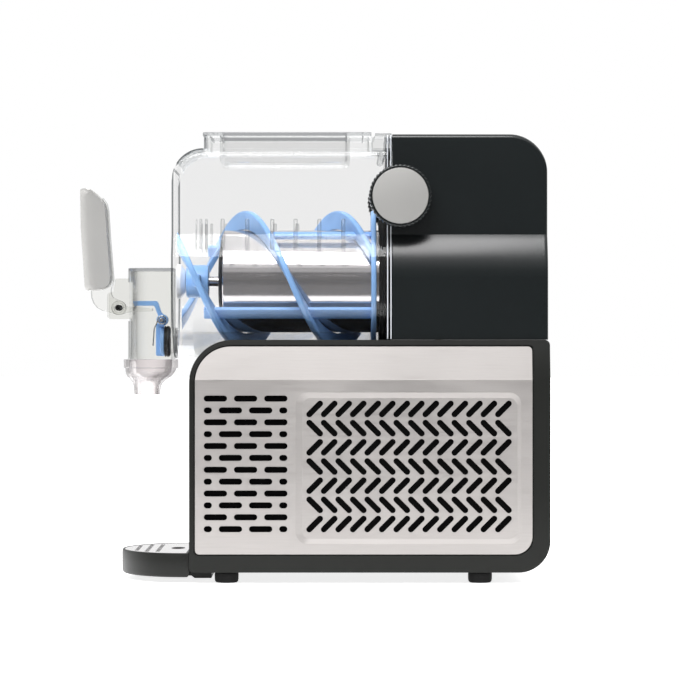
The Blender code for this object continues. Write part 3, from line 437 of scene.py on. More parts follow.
def buildBaseCasing():
    innerHalf = base["half"] - base["wall"]
    hollow = creased(prism(baseOutline(base["wall"]), "X", -innerHalf, innerHalf))
    holes = [carved(hollow, [rod(79.3, 200, "Y", (0, -122, axisZ), 128)]),
             rod(76.5, 204, "Y", (0, -126.5, axisZ), 128),  # the round bed that the tank lies in
             block((-84, -112.5, 5), (84, 195, 16)),  # floor plate
             block((-50, 100, 220), (50, 200, 240)),  # the way up into the rear housing
             block((-60, 220.9, 60), (60, 232, 150)),  # rear grille
             block((32, 220.9, 170), (60, 232, 190)),  # power inlet
             block((-58, 220.9, 168), (-36, 232, 192)),  # power switch
             block((-52, -121.5, 96), (52, -114.5, 168))]  # control panel
    # on each side a shallow bed for the steel panel, and an opening behind it
    for sign in (1, -1):
        holes.append(creased(prism(panelOutline(-1.3), "X", *sorted((sign * 88, sign * 96)))))
        holes.append(prism(panelOutline(6), "X", *sorted((sign * 78, sign * 95))))
    for x in buttons["across"]:
        holes.append(rod(buttons["hole"], 12, "Y", (x, -120.5, buttons["up"]), 48))
    form = carved(creased(prism(baseOutline(0), "X", -base["half"], base["half"])), holes)
    addPiece("baseCasing", form, casingGrey, "chassis", ["base_shell"], 25, 0.4)


longVents = {"rows": 12, "pitch": 11.28, "top": 175.9, "high": 5.8, "front": -102.5, "back": -23,
             "gap": 6.5, "long": 22.2}
chevrons = {"rows": 7, "columns": 14, "pitch": 13.8, "rowPitch": 18.23, "first": 2.9, "top": 166,
            "long": 20.2, "wide": 5.7, "tilt": 45}
# the pressed field: front, low, back, top and corner radius, at the sheet's face and at its bottom
pressed = {"outer": (-15, 37.7, 199.1, 181.6, 11), "inner": (-9.2, 42.4, 195.6, 176.3, 8), "deep": 1.3}


# three long slots in a row, then short, long, long, short in the next, like brickwork
def longVentSlots():
    slots = []
    long, gap = longVents["long"], longVents["gap"]
    short = (longVents["back"] - longVents["front"] - 2 * long - 3 * gap) / 2
    for row in range(longVents["rows"]):
        across, up = longVents["front"], longVents["top"] - row * longVents["pitch"]
        for wide in [long] * 3 if row % 2 == 0 else [short, long, long, short]:
            slots.append(slotPoints(across + wide / 2, up, wide, longVents["high"]))
            across += wide + gap
    return slots


def chevronSlots():
    slots = []
    for row in range(chevrons["rows"]):
        up = chevrons["top"] - row * chevrons["rowPitch"]
        tilt = chevrons["tilt"] if row % 2 == 0 else -chevrons["tilt"]
        for column in range(chevrons["columns"]):
            across = chevrons["first"] + column * chevrons["pitch"]
            slots.append(slotPoints(across, up, chevrons["long"], chevrons["wide"], tilt))
    return slots


# a sheet pressed in over a rounded rectangle, then given its thickness inward
def buildSidePanel(side, sign):
    outer, inner = boxPoints(*pressed["outer"], 14), boxPoints(*pressed["inner"], 14)
    form = sheetWithHoles([panelOutline(0), outer] + longVentSlots(), "X", 0)
    merged(form, sheetWithHoles([inner] + chevronSlots(), "X", -pressed["deep"]))
    slope = [[(0, a, b) for a, b in outer], [(-pressed["deep"], a, b) for a, b in inner]]
    merged(form, skinned(slope, capped=False))
    welded(form, 0.01)
    sliced(form, (0, 0, base["crease"]), (0, 0, 1))
    for vert in form.verts:
        vert.co.x = sign * (base["half"] - panel["sunk"] + vert.co.x - leanAt(vert.co.z))
    bmesh.ops.recalc_face_normals(form, faces=form.faces)
    outward = sum(face.normal.x * face.calc_area() for face in form.faces)
    if outward * sign < 0:
        bmesh.ops.reverse_faces(form, faces=form.faces)
    bmesh.ops.solidify(form, geom=form.faces[:], thickness=panel["sheet"])
    addPiece("sidePanel" + side.capitalize(), form, brushedSteel, "chassis",
             ["side_panel_" + side], 5)


ventShadeSheet = {"inner": 85.1, "outer": 86.8, "front": -106, "back": 206, "low": 33, "top": 190}


# one black sheet just behind the vents on each side, painted shade so that the inside stays dark
def buildVentShadeSheets():
    for side, sign in (("right", 1), ("left", -1)):
        near, far = sorted((sign * ventShadeSheet["inner"], sign * ventShadeSheet["outer"]))
        form = block((near, ventShadeSheet["front"], ventShadeSheet["low"]),
                     (far, ventShadeSheet["back"], ventShadeSheet["top"]), 0.5, 2)
        addPiece("ventShadeSheet" + side.capitalize(), form, shadeSheetBlack, "chassis",
                 ["vent_filter_" + side], 30)


def buildFeet():
    profile = [(0, 10.2), (8.6, 10.2), (10.6, 10), (11.3, 9.2), (11.5, 8), (11.4, 3.4), (10.9, 1.2),
               (9.8, 0.2), (8.6, 0), (7.4, 0), (6.8, 0.8), (0, 0.8)]
    for node in ("foot_front_right", "foot_front_left", "foot_rear_right", "foot_rear_left"):
        low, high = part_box(node)
        centre = ((low.x + high.x) * 500, (low.y + high.y) * 500, 0)
        name = "rubberFoot" + "".join(word.capitalize() for word in node.split("_")[1:])
        addPiece(name, turned(profile, "Z", centre, 48), blackRubber, "chassis", [node], 30)


def buildRearFittings():
    slots = [slotPoints(0, up, 100, 4) for up in range(70, 142, 9)]
    form = sheetWithHoles([boxPoints(-59.6, 60.4, 59.6, 149.6, 3, 6)] + slots, "Y", 225.5, 2)
    addPiece("rearGrille", form, casingGrey, "chassis", ["rear_grille"], 30, 0.3)
    recess = block((35.4, 206.9, 172.8), (56.6, 231, 187.2), 1.5)
    form = carved(block((32.4, 202.9, 170.4), (59.6, 226.7, 189.6), 0.8), [recess])
    for x, z in ((41, 177.4), (51, 177.4), (46, 183.4)):  # the three blades
        block((x - 1, 206, z - 2.2), (x + 1, 220, z + 2.2), 0.5, form=form)
    addPiece("powerInlet", form, satinBlack, "chassis", ["power_inlet"], 35)
    softened("power_switch", "rockerSwitch", glossBlack, "switch", 0.5)


def buildControls():
    plate = prism(boxPoints(-51.6, 96.4, 51.6, 167.6, 3, 6), "Y", -116.2, -114.8)
    holes = [block((-26, -119, 136), (26, -112, 160))]  # the display's window
    holes += [rod(buttons["hole"], 12, "Y", (x, -122.5, buttons["up"])) for x in buttons["across"]]
    form = carved(plate, holes)
    addPiece("controlPanel", form, glossBlack, "chassis", ["control_panel"], 35, 0.25)
    softened("display_lens", "displayLens", clearRib, "chassis", 0.3)
    profile = [(0, -0.35), (5.6, -0.2), (6.6, 0), (7.5, 0), (8.05, -0.3), (8.2, -0.9), (8.2, -6), (0, -6)]
    for word, number, x in zip(("one", "two", "three"), "123", buttons["across"]):
        form = turned(profile, "-Y", (x, -116.4, buttons["up"]), 64)
        addPiece("pushButton" + number, form, plainMetal, "button_" + word,
                 ["button_" + number], 30)
    softened("control_board", "controlBoard", circuitGreen, "chassis", 0.2)


def buildCooling():
    profile = [(0, 146), (18, 145.4), (30, 141.5), (38, 134), (42.5, 124), (43.6, 112), (44, 84),
               (44, 82.5), (44, 79.5), (44, 78), (44, 38), (42, 29), (37, 21.5), (30, 16.4), (26, 16),
               (0, 16)]
    addPiece("compressorCan", turned(profile, "Z", (0, -42, 0), 64), compressorPaint, "chassis",
             ["compressor"], 30)
    softened("condenser", "condenserFins", plainMetal, "chassis", 0.3)
    softened("fan_shroud", "fanShroud", satinBlack, "chassis", 0.4)
    softened("fan_rotor", "fanRotor", satinBlack, "fan", 0.3)
    softened("fan_motor", "fanMotor", plainMetal, "chassis", 0.5)
    softened("discharge_line", "dischargeLine", copperTube, "chassis", 0, 60)
    softened("suction_line", "suctionLine", copperTube, "chassis", 0, 60)
    softened("base_floor", "baseFloor", casingGrey, "chassis", 0.5)


buildBaseCasing()
buildSidePanel("right", 1)
buildSidePanel("left", -1)
buildVentShadeSheets()
buildFeet()
buildRearFittings()
buildControls()
buildCooling()
print("base built")


# rear housing: a narrow neck over a round shoulder

housing = {"front": 77.2, "back": 225.5, "low": 231.75, "top": 428.6, "wall": 2.8, "round": 36,
           "radius": 80, "neck": 67}


# how far the top edge is down where a back corner of that radius rounds it
def cornerDrop(past, radius):
    past = min(max(past, 0), radius)
    return radius - math.sqrt(max(radius * radius - past * past, 0))


def keyholeOutline(inset, top, low):
    radius, neck = housing["radius"] - inset, housing["neck"] - inset
    rise = math.degrees(math.acos(neck / radius))
    corner = max(4 - inset, 1)
    half = [(radius, low)] + arcPoints((0, axisZ), radius, 0, rise, 24)
    half += arcPoints((neck - corner, top - inset - corner), corner, 0, 90, 10)
    return half + [(-a, b) for a, b in reversed(half)]


# one ring at the front and nineteen round the back corner, whose very edge is softened too
def housingRings(inset, edge):
    rings = []
    back, radius = housing["back"] - inset, housing["round"] - inset
    straight = back - radius
    places = [straight + radius * math.sin(math.radians(90 * i / 18)) for i in range(19)]
    for y in [housing["front"]] + places:
        soft = cornerDrop(y - (back - edge), edge)
        drop = cornerDrop(y - straight, radius)
        outline = keyholeOutline(inset + soft, housing["top"] - max(0, drop - soft), housing["low"])
        rings.append([(a, y, b) for a, b in outline])
    return rings


def buildHousing():
    form = shell(housingRings(0, 2.4), housingRings(housing["wall"], 1), 0)
    bmesh.ops.holes_fill(form, edges=[e for e in form.edges if e.is_boundary], sides=0)
    bmesh.ops.recalc_face_normals(form, faces=form.faces)
    holes = [rod(3.7, 20, axis, (sign * 55, knob["y"], knob["z"]), 32)
             for sign, axis in ((1, "X"), (-1, "-X"))]
    addPiece("rearHousing", carved(form, holes), satinBlack, "chassis", ["rear_housing"], 28)
    softened("bulkhead", "bulkheadPlate", satinBlack, "chassis", 0.4)
    softened("gearbox", "gearBox", plainMetal, "chassis", 0.3)
    softened("gear_motor", "gearMotor", compressorPaint, "chassis", 0.4)
    softened("shaft_bush", "shaftBush", brushedSteel, "chassis", 0.2)
    lip = [(50.4, -0.3), (50.4, -11.6), (51.2, -12.4), (67.6, -12.4), (68.4, -11.6), (68.4, -10),
           (70.4, -9.6), (71.4, -8.6), (71.4, -5.4), (70.2, -4.8), (71.4, -4.2), (71.4, -0.3)]
    form = turned(lip, "Y", (0, housing["front"], axisZ), 144, closed=True)
    addPiece("tankSeal", form, blackRubber, "chassis", ["tank_seal"], 30)


knob = {"flutes": 44, "radius": 30, "depth": 0.9, "y": 84.5, "z": 368.7}


def knobRing(x, inset, fluted):
    points = []
    count = knob["flutes"] * 8
    for step in range(count):
        angle = math.tau * step / count
        groove = knob["depth"] * (0.5 - 0.5 * math.cos(angle * knob["flutes"])) ** 1.6 if fluted else 0
        radius = knob["radius"] - inset - groove
        points.append((x, knob["y"] + radius * math.cos(angle), knob["z"] + radius * math.sin(angle)))
    return points


def buildKnob(side, sign):
    stations = [(68.8, 3, False), (68.8, 1.2, True), (69.6, 0.3, True), (70.6, 0, True), (89.4, 0, True),
                (90.4, 0.25, True), (91, 0.9, True), (91.2, 1.8, False), (91.2, 2.6, False), (90.9, 3, False),
                (89.5, 3.1, False)]
    form = skinned([knobRing(sign * x, inset, fluted) for x, inset, fluted in stations])
    addPiece("knobRing" + side.capitalize(), form, satinBlack, "knob_" + side,
             ["knob_ring_" + side], 32)
    face = [(0, 91.95), (25.5, 91.95), (26.2, 91.8), (26.6, 91.2), (26.6, 89.7), (0, 89.7)]
    form = turned(face, "X" if sign > 0 else "-X", (0, knob["y"], knob["z"]), 128)
    addPiece("knobDisc" + side.capitalize(), form, silverPaint, "knob_" + side,
             ["knob_disc_" + side], 25)
    softened("knob_shaft_" + side, "knobShaft" + side.capitalize(), plainMetal, "knob_" + side,
             0.2)


buildHousing()
buildKnob("right", 1)
buildKnob("left", -1)
print("housing built")


# drum and auger

def buildDrum():
    tube = [(8.4, 86.9), (46.8, 86.9), (48.6, 86.5), (49.5, 85.6), (49.8, 84.4), (49.8, -76.8),
            (48, -76.8), (48, 83.4), (46.4, 84.9), (8.4, 84.9)]
    addPiece("evaporatorDrum", turned(tube, "-Y", (0, 0, axisZ), 160, closed=True), polishedSteel, "chassis",
             ["evaporator_drum"], 30)
    cap = [(8.4, 91.3), (12, 91.3), (24, 91.1), (33, 90), (44.2, 88.2), (45.4, 87.7), (45.6, 87.2),
           (8.4, 87.2)]
    addPiece("drumEndCap", turned(cap, "-Y", (0, 0, axisZ), 96, closed=True), blackRubber, "chassis",
             ["drum_end_cap"], 30)


auger = {"inner": 50.8, "outer": 68.9, "blade": 6, "lead": 180, "front": -134, "cut": -129.6, "back": 59,
         "bars": 57}


# a strand winds round the drum; topY is where it crosses the top
def strandLoops(topY):
    half = auger["blade"] / 2
    profile = roundedPoints([(auger["inner"], -half, 0.8), (auger["outer"], -half, 1.9),
                             (auger["outer"], half, 1.9), (auger["inner"], half, 0.8)], 5)
    long = auger["back"] - auger["front"]
    steps = int(long / 1.6)
    loops = []
    for step in range(steps + 1):
        y = auger["front"] + long * step / steps
        turn = math.tau * (y - topY) / auger["lead"]
        loops.append([(r * math.sin(turn), y + a, axisZ + r * math.cos(turn)) for r, a in profile])
    return loops


# a bar along the auger, at an angle from the top, ties the strands together
def barAt(angle, wide, start, form):
    turn = Matrix.Translation((0, 0, axisZ)) @ Matrix.Rotation(math.radians(angle), 4, "Y")
    block((-wide / 2, start, auger["bars"] - 2.5), (wide / 2, 60, auger["bars"] + 2.5), 1, 3, form, turn)


def buildAuger():
    form = skinned(strandLoops(24.5))
    skinned(strandLoops(-65.5), form=form)
    split = sliced(form, (0, auger["cut"], 0), (0, 1, 0), clear=True)
    bmesh.ops.edgenet_fill(form, edges=[e for e in split["geom_cut"] if isinstance(e, bmesh.types.BMEdge)])
    rim = roundedPoints([(50.8, 57, 0.8), (69, 57, 1.6), (69, 62, 1.6), (50.8, 62, 0.8)], 4)
    turned(rim, "Y", (0, 0, axisZ), 144, form, closed=True)
    hub = [(5.3, -101), (14.6, -101), (15.6, -101.5), (16, -102.6), (16, -120.8), (15.5, -122.2),
           (14.2, -123), (0, -123), (0, -112), (5.3, -112)]
    turned(hub, "Y", (0, 0, axisZ), 64, form)
    # the arm from the hub to both strands
    block((-58, -115.3, axisZ - 6), (58, -108, axisZ + 6), 1.6, 3, form)
    for angle, wide, start in ((123, 11, -104), (-57, 11, -104), (40, 7, -38), (-140, 7, -38)):
        barAt(angle, wide, start, form)
    addPiece("augerSpiral", form, augerBlue, "auger", ["auger_spiral"], 40)
    shaft = [(0, -111.5), (4.2, -111.5), (4.9, -110.8), (4.9, 115.8), (4.2, 116.5), (0, 116.5)]
    addPiece("driveShaft", turned(shaft, "Y", (0, 0, axisZ), 48), polishedSteel, "auger",
             ["drive_shaft"], 30)


buildDrum()
buildAuger()
print("auger built")


# clear tank

tank = {"front": -134.5, "back": 76.8, "top": 415.7, "round": 30, "radius": 75, "neck": 65,
        "low": 311.2, "high": 333, "wall": 3, "frontWall": 2.6}
# left, front, right, back and corner radius of the filler's opening and of the collar round it
filler = {"opening": (-45, -98.8, 45, 55, 5), "collar": (-48, -101.8, 48, 58, 8)}
outlet = {"up": 231, "radius": 12.6}


def tankOutline(inset, top):
    radius, neck = tank["radius"] - inset, tank["neck"] - inset
    corner = max(9 - inset, 1)
    half = arcPoints((0, axisZ), radius, -90, 0, 28) + [(radius, tank["low"]), (neck, tank["high"])]
    half += arcPoints((neck - corner, top - inset - corner), corner, 0, 90, 10)
    return half + [(-a, b) for a, b in reversed(half[1:])]


def tankLoops(inset, front, edge, radius):
    spots = [front + edge * (1 - math.cos(math.radians(90 * i / 4))) for i in range(4)]
    spots += [front + edge + (radius - edge) * (i / 16) ** 1.4 for i in range(17)]
    spots += [front + 2.6, tank["back"]]
    loops = []
    for y in sorted(set(round(s, 4) for s in spots)):
        soft = cornerDrop(edge - (y - front), edge)
        drop = cornerDrop(radius - (y - front), radius)
        loops.append([(a, y, b) for a, b in tankOutline(inset + soft, tank["top"] - max(0, drop - soft))])
    return loops


# how far a point is inside the tank's outline as seen from the side
def rimDistance(point):
    deep, down = point.y - tank["front"], tank["top"] - point.z
    if deep < tank["round"] and down < tank["round"]:
        return tank["round"] - math.hypot(tank["round"] - deep, tank["round"] - down)
    return min(deep, down)


def buildTank():
    outer = tankLoops(0, tank["front"], 2, tank["round"])
    inner = tankLoops(tank["wall"], tank["front"] + tank["frontWall"], 1.2, tank["round"] - tank["wall"])
    holes = [rod(outlet["radius"], 20, "Y", (0, tank["front"] - 10, outlet["up"])),
             prism(boxPoints(*filler["opening"]), "Z", 405, 435)]
    form = carved(shell(outer, inner, -1), holes)
    # the flat front takes clearFront, and what is seen along the rim takes the grey rim finish, painted
    # shade, but not behind the lid
    for face in form.faces:
        middle = face.calc_center_median()
        behindLid = middle.y > -101 and middle.z > 400
        if abs(face.normal.y) > 0.97 or 2 < middle.y - tank["front"] < 4.4:
            face.material_index = 2
        elif rimDistance(middle) < 2 and not behindLid:
            face.material_index = 1
    collar = [boxPoints(*filler["collar"]), boxPoints(*filler["opening"])]
    merged(form, sheetWithHoles(collar, "Z", 421.6, 11.7))
    profile = [(0, 10.5), (10.6, 10.5), (11.4, 10.2), (16.5, 6.2), (16.8, 5.4), (16.8, 2.5), (0, 2.5)]
    boss = turned(profile, "Y", (0, tank["front"], axisZ), 64)
    addPiece("frontBoss", boss, clearMilky, "tank", angle=30)
    paints = [clearWall, clearRimShade, clearFront]
    addPiece("tankShell", form, paints, "tank", ["tank_shell"], 24)


def buildFlange():
    keyhole = keyholeOutline(0.6, 428.2, 232.7)
    flange = sheetWithHoles([keyhole, tankOutline(-0.05, tank["top"])], "Y", 73.55, 6.5)
    addPiece("tankFlange", flange, clearRib, "tank", angle=25, bevel=0.5)
    beads = bmesh.new()
    for y in (72.4, 75.6):
        bead = [keyholeOutline(0.4, 428.3, 232.5), keyholeOutline(1.6, 427.1, 233.7)]
        merged(beads, sheetWithHoles(bead, "Y", y, 1))
    addPiece("flangeBeads", beads, clearFrost, "tank", angle=25)


# thin fins on the tank's shoulder, as (place, thickness)
shoulderFins = [(-110.4, 1.2), (-106.1, 2.4), (-100.9, 2.4)]
shoulderFins += [(y, 3.8) for y in (-85.4, -61.7, -37.8, -15.5, 7.2, 30.2)]


def buildTankFittings():
    ribs = bmesh.new()
    for y, wide in shoulderFins:
        for sign in (1, -1):
            shape = [(sign * 63, 347.5), (sign * 66.4, 347.5), (sign * 73, 321.5), (sign * 73, 318.6),
                     (sign * 71, 318.6), (sign * 63.6, 333)]
            fin = prism(shape, "Y", y - wide / 2, y + wide / 2)
            bmesh.ops.bevel(fin, geom=fin.edges[:], offset=wide * 0.3, affect="EDGES", segments=3,
                            profile=0.5, material=-1, clamp_overlap=True)
            merged(ribs, fin)
    addPiece("shoulderRibs", ribs, clearRib, "tank", angle=25)
    relief = rod(3.5, 100, "X", (-50, 57.5, 430), 48)  # room round the hinge line for the lid's edge
    hinge = carved(block((-46, 58.2, 414), (46, 76.7, 430.8), 0.8, 3), [relief])
    pin = [(0, -66), (2.6, -66), (3.3, -65.4), (3.3, 65.4), (2.6, 66), (0, 66)]
    turned(pin, "X", (0, 66.7, 407.7), 32, hinge)
    addPiece("hingeBrackets", hinge, clearRib, "tank", angle=30)
    latches = bmesh.new()
    for sign in (1, -1):
        near, far = sorted((sign * 62, sign * 66.4))
        block((near, 72.6, 403.5), (far, 76.6, 412.5), 0.8, 3, latches)
    addPiece("tankLatches", latches, satinBlack, "tank", angle=30)


lid = {"top": 430, "thick": 3.6, "panHalf": 38, "panFront": -89.3, "panBack": 36.6}


def panLoop(inset, z, radius):
    half, front, back = lid["panHalf"] - inset, lid["panFront"] + inset, lid["panBack"] - inset
    return [(a, b, z) for a, b in boxPoints(-half, front, half, back, radius)]


def buildLid():
    plate = roundedPoints([(-47.5, -105.4, 8), (47.5, -105.4, 8), (47.5, 57.2, 3), (-47.5, 57.2, 3)], 8)
    form = sheetWithHoles([plate, boxPoints(-35.4, -86.7, 35.4, 34, 6)], "Z", lid["top"], lid["thick"])
    # the pan: down its outside, and up its inside
    down = ((0, 428.4), (0, 406), (0.5, 403.4), (1.8, 401.4), (4.2, 400.4))
    up = ((4.4, 403), (3, 403.7), (2.6, 405), (2.6, 428.2))
    outside = [panLoop(inset, z, 8) for inset, z in down]
    inside = [panLoop(inset, z, 6) for inset, z in up]
    pan = skinned(outside + inside, capped=False)
    closeRing(pan, outside[-1])
    closeRing(pan, inside[0])
    merged(pan, skinned([outside[0], inside[-1]], capped=False))
    welded(pan, 0.001)
    merged(form, pan)
    block((-20, -105.2, 416.8), (20, -102.4, 430.8), 0.8, 2, form)  # the finger tab
    for face in form.faces:
        middle = face.calc_center_median()
        if (middle.z > 428 or middle.y < -102.3) and abs(face.normal.z) < 0.5:
            face.material_index = 1
    addPiece("fillLid", form, [clearWall, clearEdge], "lid", ["fill_lid"], 25, 0.5)
    rim = bmesh.new()
    for y in (-98, -88, 33, 49):
        block((-47.2, y - 0.6, 426.6), (47.2, y + 0.6, 428.3), 0.2, 1, rim)
    addPiece("lidRibs", rim, clearRib, "lid", angle=25)


buildTank()
buildFlange()
buildTankFittings()
buildLid()
print("tank built")


# spout, lever and valve; each pin is given as (y, z)

spout = {"y": -157.8, "half": 22, "low": 213, "high": 301.5, "rear": -134.8, "rim": 298.6}
leverPin = (-189.1, 263)
valvePin = (-146.4, 251)


def spoutOutline(inset):
    radius = spout["half"] - inset
    rear = spout["rear"] - inset
    return arcPoints((0, spout["y"]), radius, 180, 360, 40) + [(radius, rear), (-radius, rear)]


def buildSpout():
    body = prism(spoutOutline(0), "Z", spout["low"], spout["high"])
    ear = roundedPoints([(-176, 291.5, 3), (-193, 291.5, 2), (-194.4, 279.4, 2), (-199.5, 276.4, 2),
                         (-199.5, 252, 3), (-176, 252, 3)], 8)
    lugs = [prism(ear, "X", *sorted((sign * 9, sign * 12.5))) for sign in (1, -1)]
    body = carved(body, lugs, "UNION")
    holes = [prism(spoutOutline(2.6), "Z", 205, spout["rim"]),
             block((-8.4, -185, 250), (8.4, -172, 288)),  # the lever's tip goes in here
             rod(outlet["radius"], 20, "Y", (0, -145, outlet["up"]))]
    holes += [rod(2.2, 60, "X", (-30, y, z), 24) for y, z in (leverPin, valvePin)]
    form = carved(body, holes)
    sliced(form, (0, 0, spout["rim"]), (0, 0, 1))
    for face in form.faces:
        if face.calc_center_median().z > spout["rim"] + 0.1 and abs(face.normal.z) < 0.5:
            face.material_index = 1
    addPiece("spoutBody", form, [clearThin, clearEdge], "tank", ["spout_body"], 25, 0.5)


# rings whose middle moves forward as they go down, so that the tip leans forward
def buildNozzle():
    profile = [(26, 212.7), (26.5, 212.2), (26.5, 205), (26.1, 204.4), (24.8, 203.8), (24.2, 201),
               (23.4, 199), (21.6, 196.2), (19, 193.6), (16.4, 191.2), (14.6, 189), (13.6, 186.4),
               (13.2, 183), (12.9, 178.6), (12.6, 178.3), (11.1, 178.3), (11.4, 187), (13.2, 191.8),
               (18.6, 196.6), (20.8, 200.5), (21, 212.7)]
    loops = []
    for radius, z in profile:
        forward = 3.6 * min(1, max(0, (203.8 - z) / 16.8))
        loops.append([(a, b, z) for a, b in arcPoints((0, spout["y"] - forward), radius, 0, 356.25, 95)])
    addPiece("spoutNozzle", skinned(loops, capped=False, closed=True), clearNozzle, "tank",
             ["spout_nozzle"], 25)


# the lever's pin, with a head and a cross slot's raised bar at each end
def buildPins():
    pin = [(0, -13.4), (1.4, -13.4), (1.9, -13), (1.9, 13), (1.4, 13.4), (0, 13.4)]
    head = [(0, 12.6), (2.4, 12.6), (2.9, 12.9), (2.9, 13.1), (2.4, 13.4), (0, 13.4)]
    form = turned(pin, "X", (0, *leverPin), 32)
    for sign in (1, -1):
        bar = block((-0.6, -2.6, -0.5), (0.6, 2.6, 0.5), 0.2, 1)
        turn = Matrix.Translation((sign * 12.9, *leverPin)) @ Matrix.Rotation(math.radians(38), 4, "X")
        bmesh.ops.transform(bar, matrix=turn, verts=bar.verts)
        turned(head, "X" if sign > 0 else "-X", (0, *leverPin), 32, form)
        merged(form, bar)
    addPiece("leverPin", form, blackRubber, "tank", ["lever_pin"], 30)
    softened("valve_pin", "valvePin", polishedSteel, "tank", 0.3)
    softened("valve_spring", "valveSpring", polishedSteel, "tank", 0, 60)


# back and front of the grip at each height, as (z, y); its section is half round in front
grip = {
    "back": ((279.9, -209.5), (280.3, -207), (281.4, -202.7), (283, -199.9), (285.2, -197.7),
             (288.4, -196.3), (293, -195.8), (330.6, -198.9), (357.7, -200.6), (363.5, -202),
             (369.1, -205.6), (374.8, -211.2), (378.2, -215.6), (379, -217.4)),
    "front": ((279.9, -221.4), (284, -222.6), (340, -226.4), (370, -226.9), (379, -226.9)),
    "half": 17, "low": 279.95, "high": 378.95, "edge": 0.8,
}


def along(pairs, z):
    for (z0, y0), (z1, y1) in zip(pairs, pairs[1:]):
        if z <= z1:
            return y0 + (y1 - y0) * max(0, (z - z0)) / (z1 - z0)
    return pairs[-1][1]


def gripLoop(z, shrink):
    back = along(grip["back"], z) - shrink
    front = along(grip["front"], z) + shrink
    half = grip["half"] - shrink
    side = grip["edge"] * min(1, (back - front) / 12)
    deep = min(14, (back - front) * 0.8)
    points = []
    for i in range(33):
        turn = math.radians(180 + 180 * i / 32)
        points.append((half * math.cos(turn), front + deep * (1 - abs(math.sin(turn))), z))
    return points + [(half, back - side, z), (half - side, back, z), (-half + side, back, z),
                     (-half, back - side, z)]


def buildLever():
    low, high = grip["low"], grip["high"]
    heights = [low + (high - low) * i / 90 for i in range(91)]
    loops = []
    for z in heights:
        past = grip["edge"] - min(z - low, heights[-1] - z)
        loops.append(gripLoop(z, cornerDrop(past, grip["edge"])))
    addPiece("leverGrip", skinned(loops), silverPaint, "lever", ["lever_handle"], 35)
    outline = [(-156, 259.7), (-156, 262.3), (-180, 263.8)] + arcPoints(leverPin, 7, 15, 75, 10)
    outline += [(-194.2, 272.5), (-196.2, 275.6), (-196.6, 279.4), (-195.6, 284.4), (-194.2, 289),
                (-194, 292.6), (-197.1, 330.6), (-198.9, 358), (-200.4, 364.6), (-204.4, 370.4),
                (-205.1, 369.6), (-201.6, 363.8), (-200.2, 357.7), (-198.5, 330.6), (-195.4, 292.8),
                (-195.8, 288.4), (-197.3, 284.8), (-199.5, 282.7), (-202.4, 280.9), (-207.8, 279.7),
                (-216, 279.5), (-215.6, 273), (-213.6, 267.4), (-210, 263), (-205, 260.2), (-199, 258.9)]
    outline += arcPoints(leverPin, 7, 240, 290, 8) + [(-180, 258.6)]
    form = carved(prism(outline, "X", -7.6, 7.6), [rod(2.1, 40, "X", (-20, *leverPin), 32)])
    boss = [(4.6, -8.4), (6.6, -8.4), (7, -8), (7, 8), (6.6, 8.4), (4.6, 8.4)]
    turned(boss, "X", (0, *leverPin), 64, form, closed=True)
    addPiece("leverArm", form, clearThin, "lever", ["lever_arm"], 25, 0.5)


# the rocker: an arm over the lever's tip, a round boss on the pin, and a disc behind the seal
def buildValve():
    outline = roundedPoints([(-175.4, 265, 1), (-154.3, 265, 2), (-150.4, 255, 1), (-152.6, 245, 2),
                             (-152.6, 216, 1.6), (-144.6, 216, 1.6), (-144.6, 245, 0)], 5)
    outline += arcPoints(valvePin, 5.6, -70, 80, 16)
    outline += [(-147.4, 258.6), (-149, 263), (-150.4, 267.4), (-151.4, 269.2), (-152.4, 269.6),
                (-174.6, 269.6), (-175.4, 268.8)]
    form = prism(outline, "X", -5, 5)
    disc = [(0, 0), (13.6, 0), (14.6, 1), (14.6, 3.4), (14, 4), (0, 4)]
    turned(disc, "Y", (0, -148.4, 230.2), 64, form)
    boss = [(2.1, -9), (5, -9), (5.6, -8.4), (5.6, 8.4), (5, 9), (2.1, 9)]
    turned(boss, "X", (0, *valvePin), 48, form, closed=True)
    addPiece("valveRocker", form, augerBlue, "valve", ["valve_rocker"], 30, 0.4)
    seal = [(0, 5.6), (12.4, 5.6), (13.8, 5.3), (14.6, 4.6), (15.2, 3.4), (15.2, 2.4), (14.2, 2),
            (14.2, 1.4), (15.2, 1), (15.2, 0.2), (14.8, 0), (0, 0)]
    addPiece("valveSeal", turned(seal, "Y", (0, -144.1, 230.2), 64), darkSilicone, "valve",
             ["valve_seal"], 30)


buildSpout()
buildNozzle()
buildPins()
buildLever()
buildValve()
print("spout built")


# drip tray

tray = {"half": 84, "front": -185.6, "back": -117, "slot": 12, "slotWide": 4, "pitch": 16, "rowPitch": 10.5}


# half an ellipse in front, straight across at the back
def trayOutline(inset):
    middle = tray["back"] - 6
    wide = tray["half"] - inset
    deep = middle - tray["front"] - inset
    points = []
    for i in range(73):
        turn = math.radians(180 + 180 * i / 72)
        points.append((wide * math.cos(turn), middle + deep * math.sin(turn)))
    return points + [(wide, tray["back"] - inset), (-wide, tray["back"] - inset)]


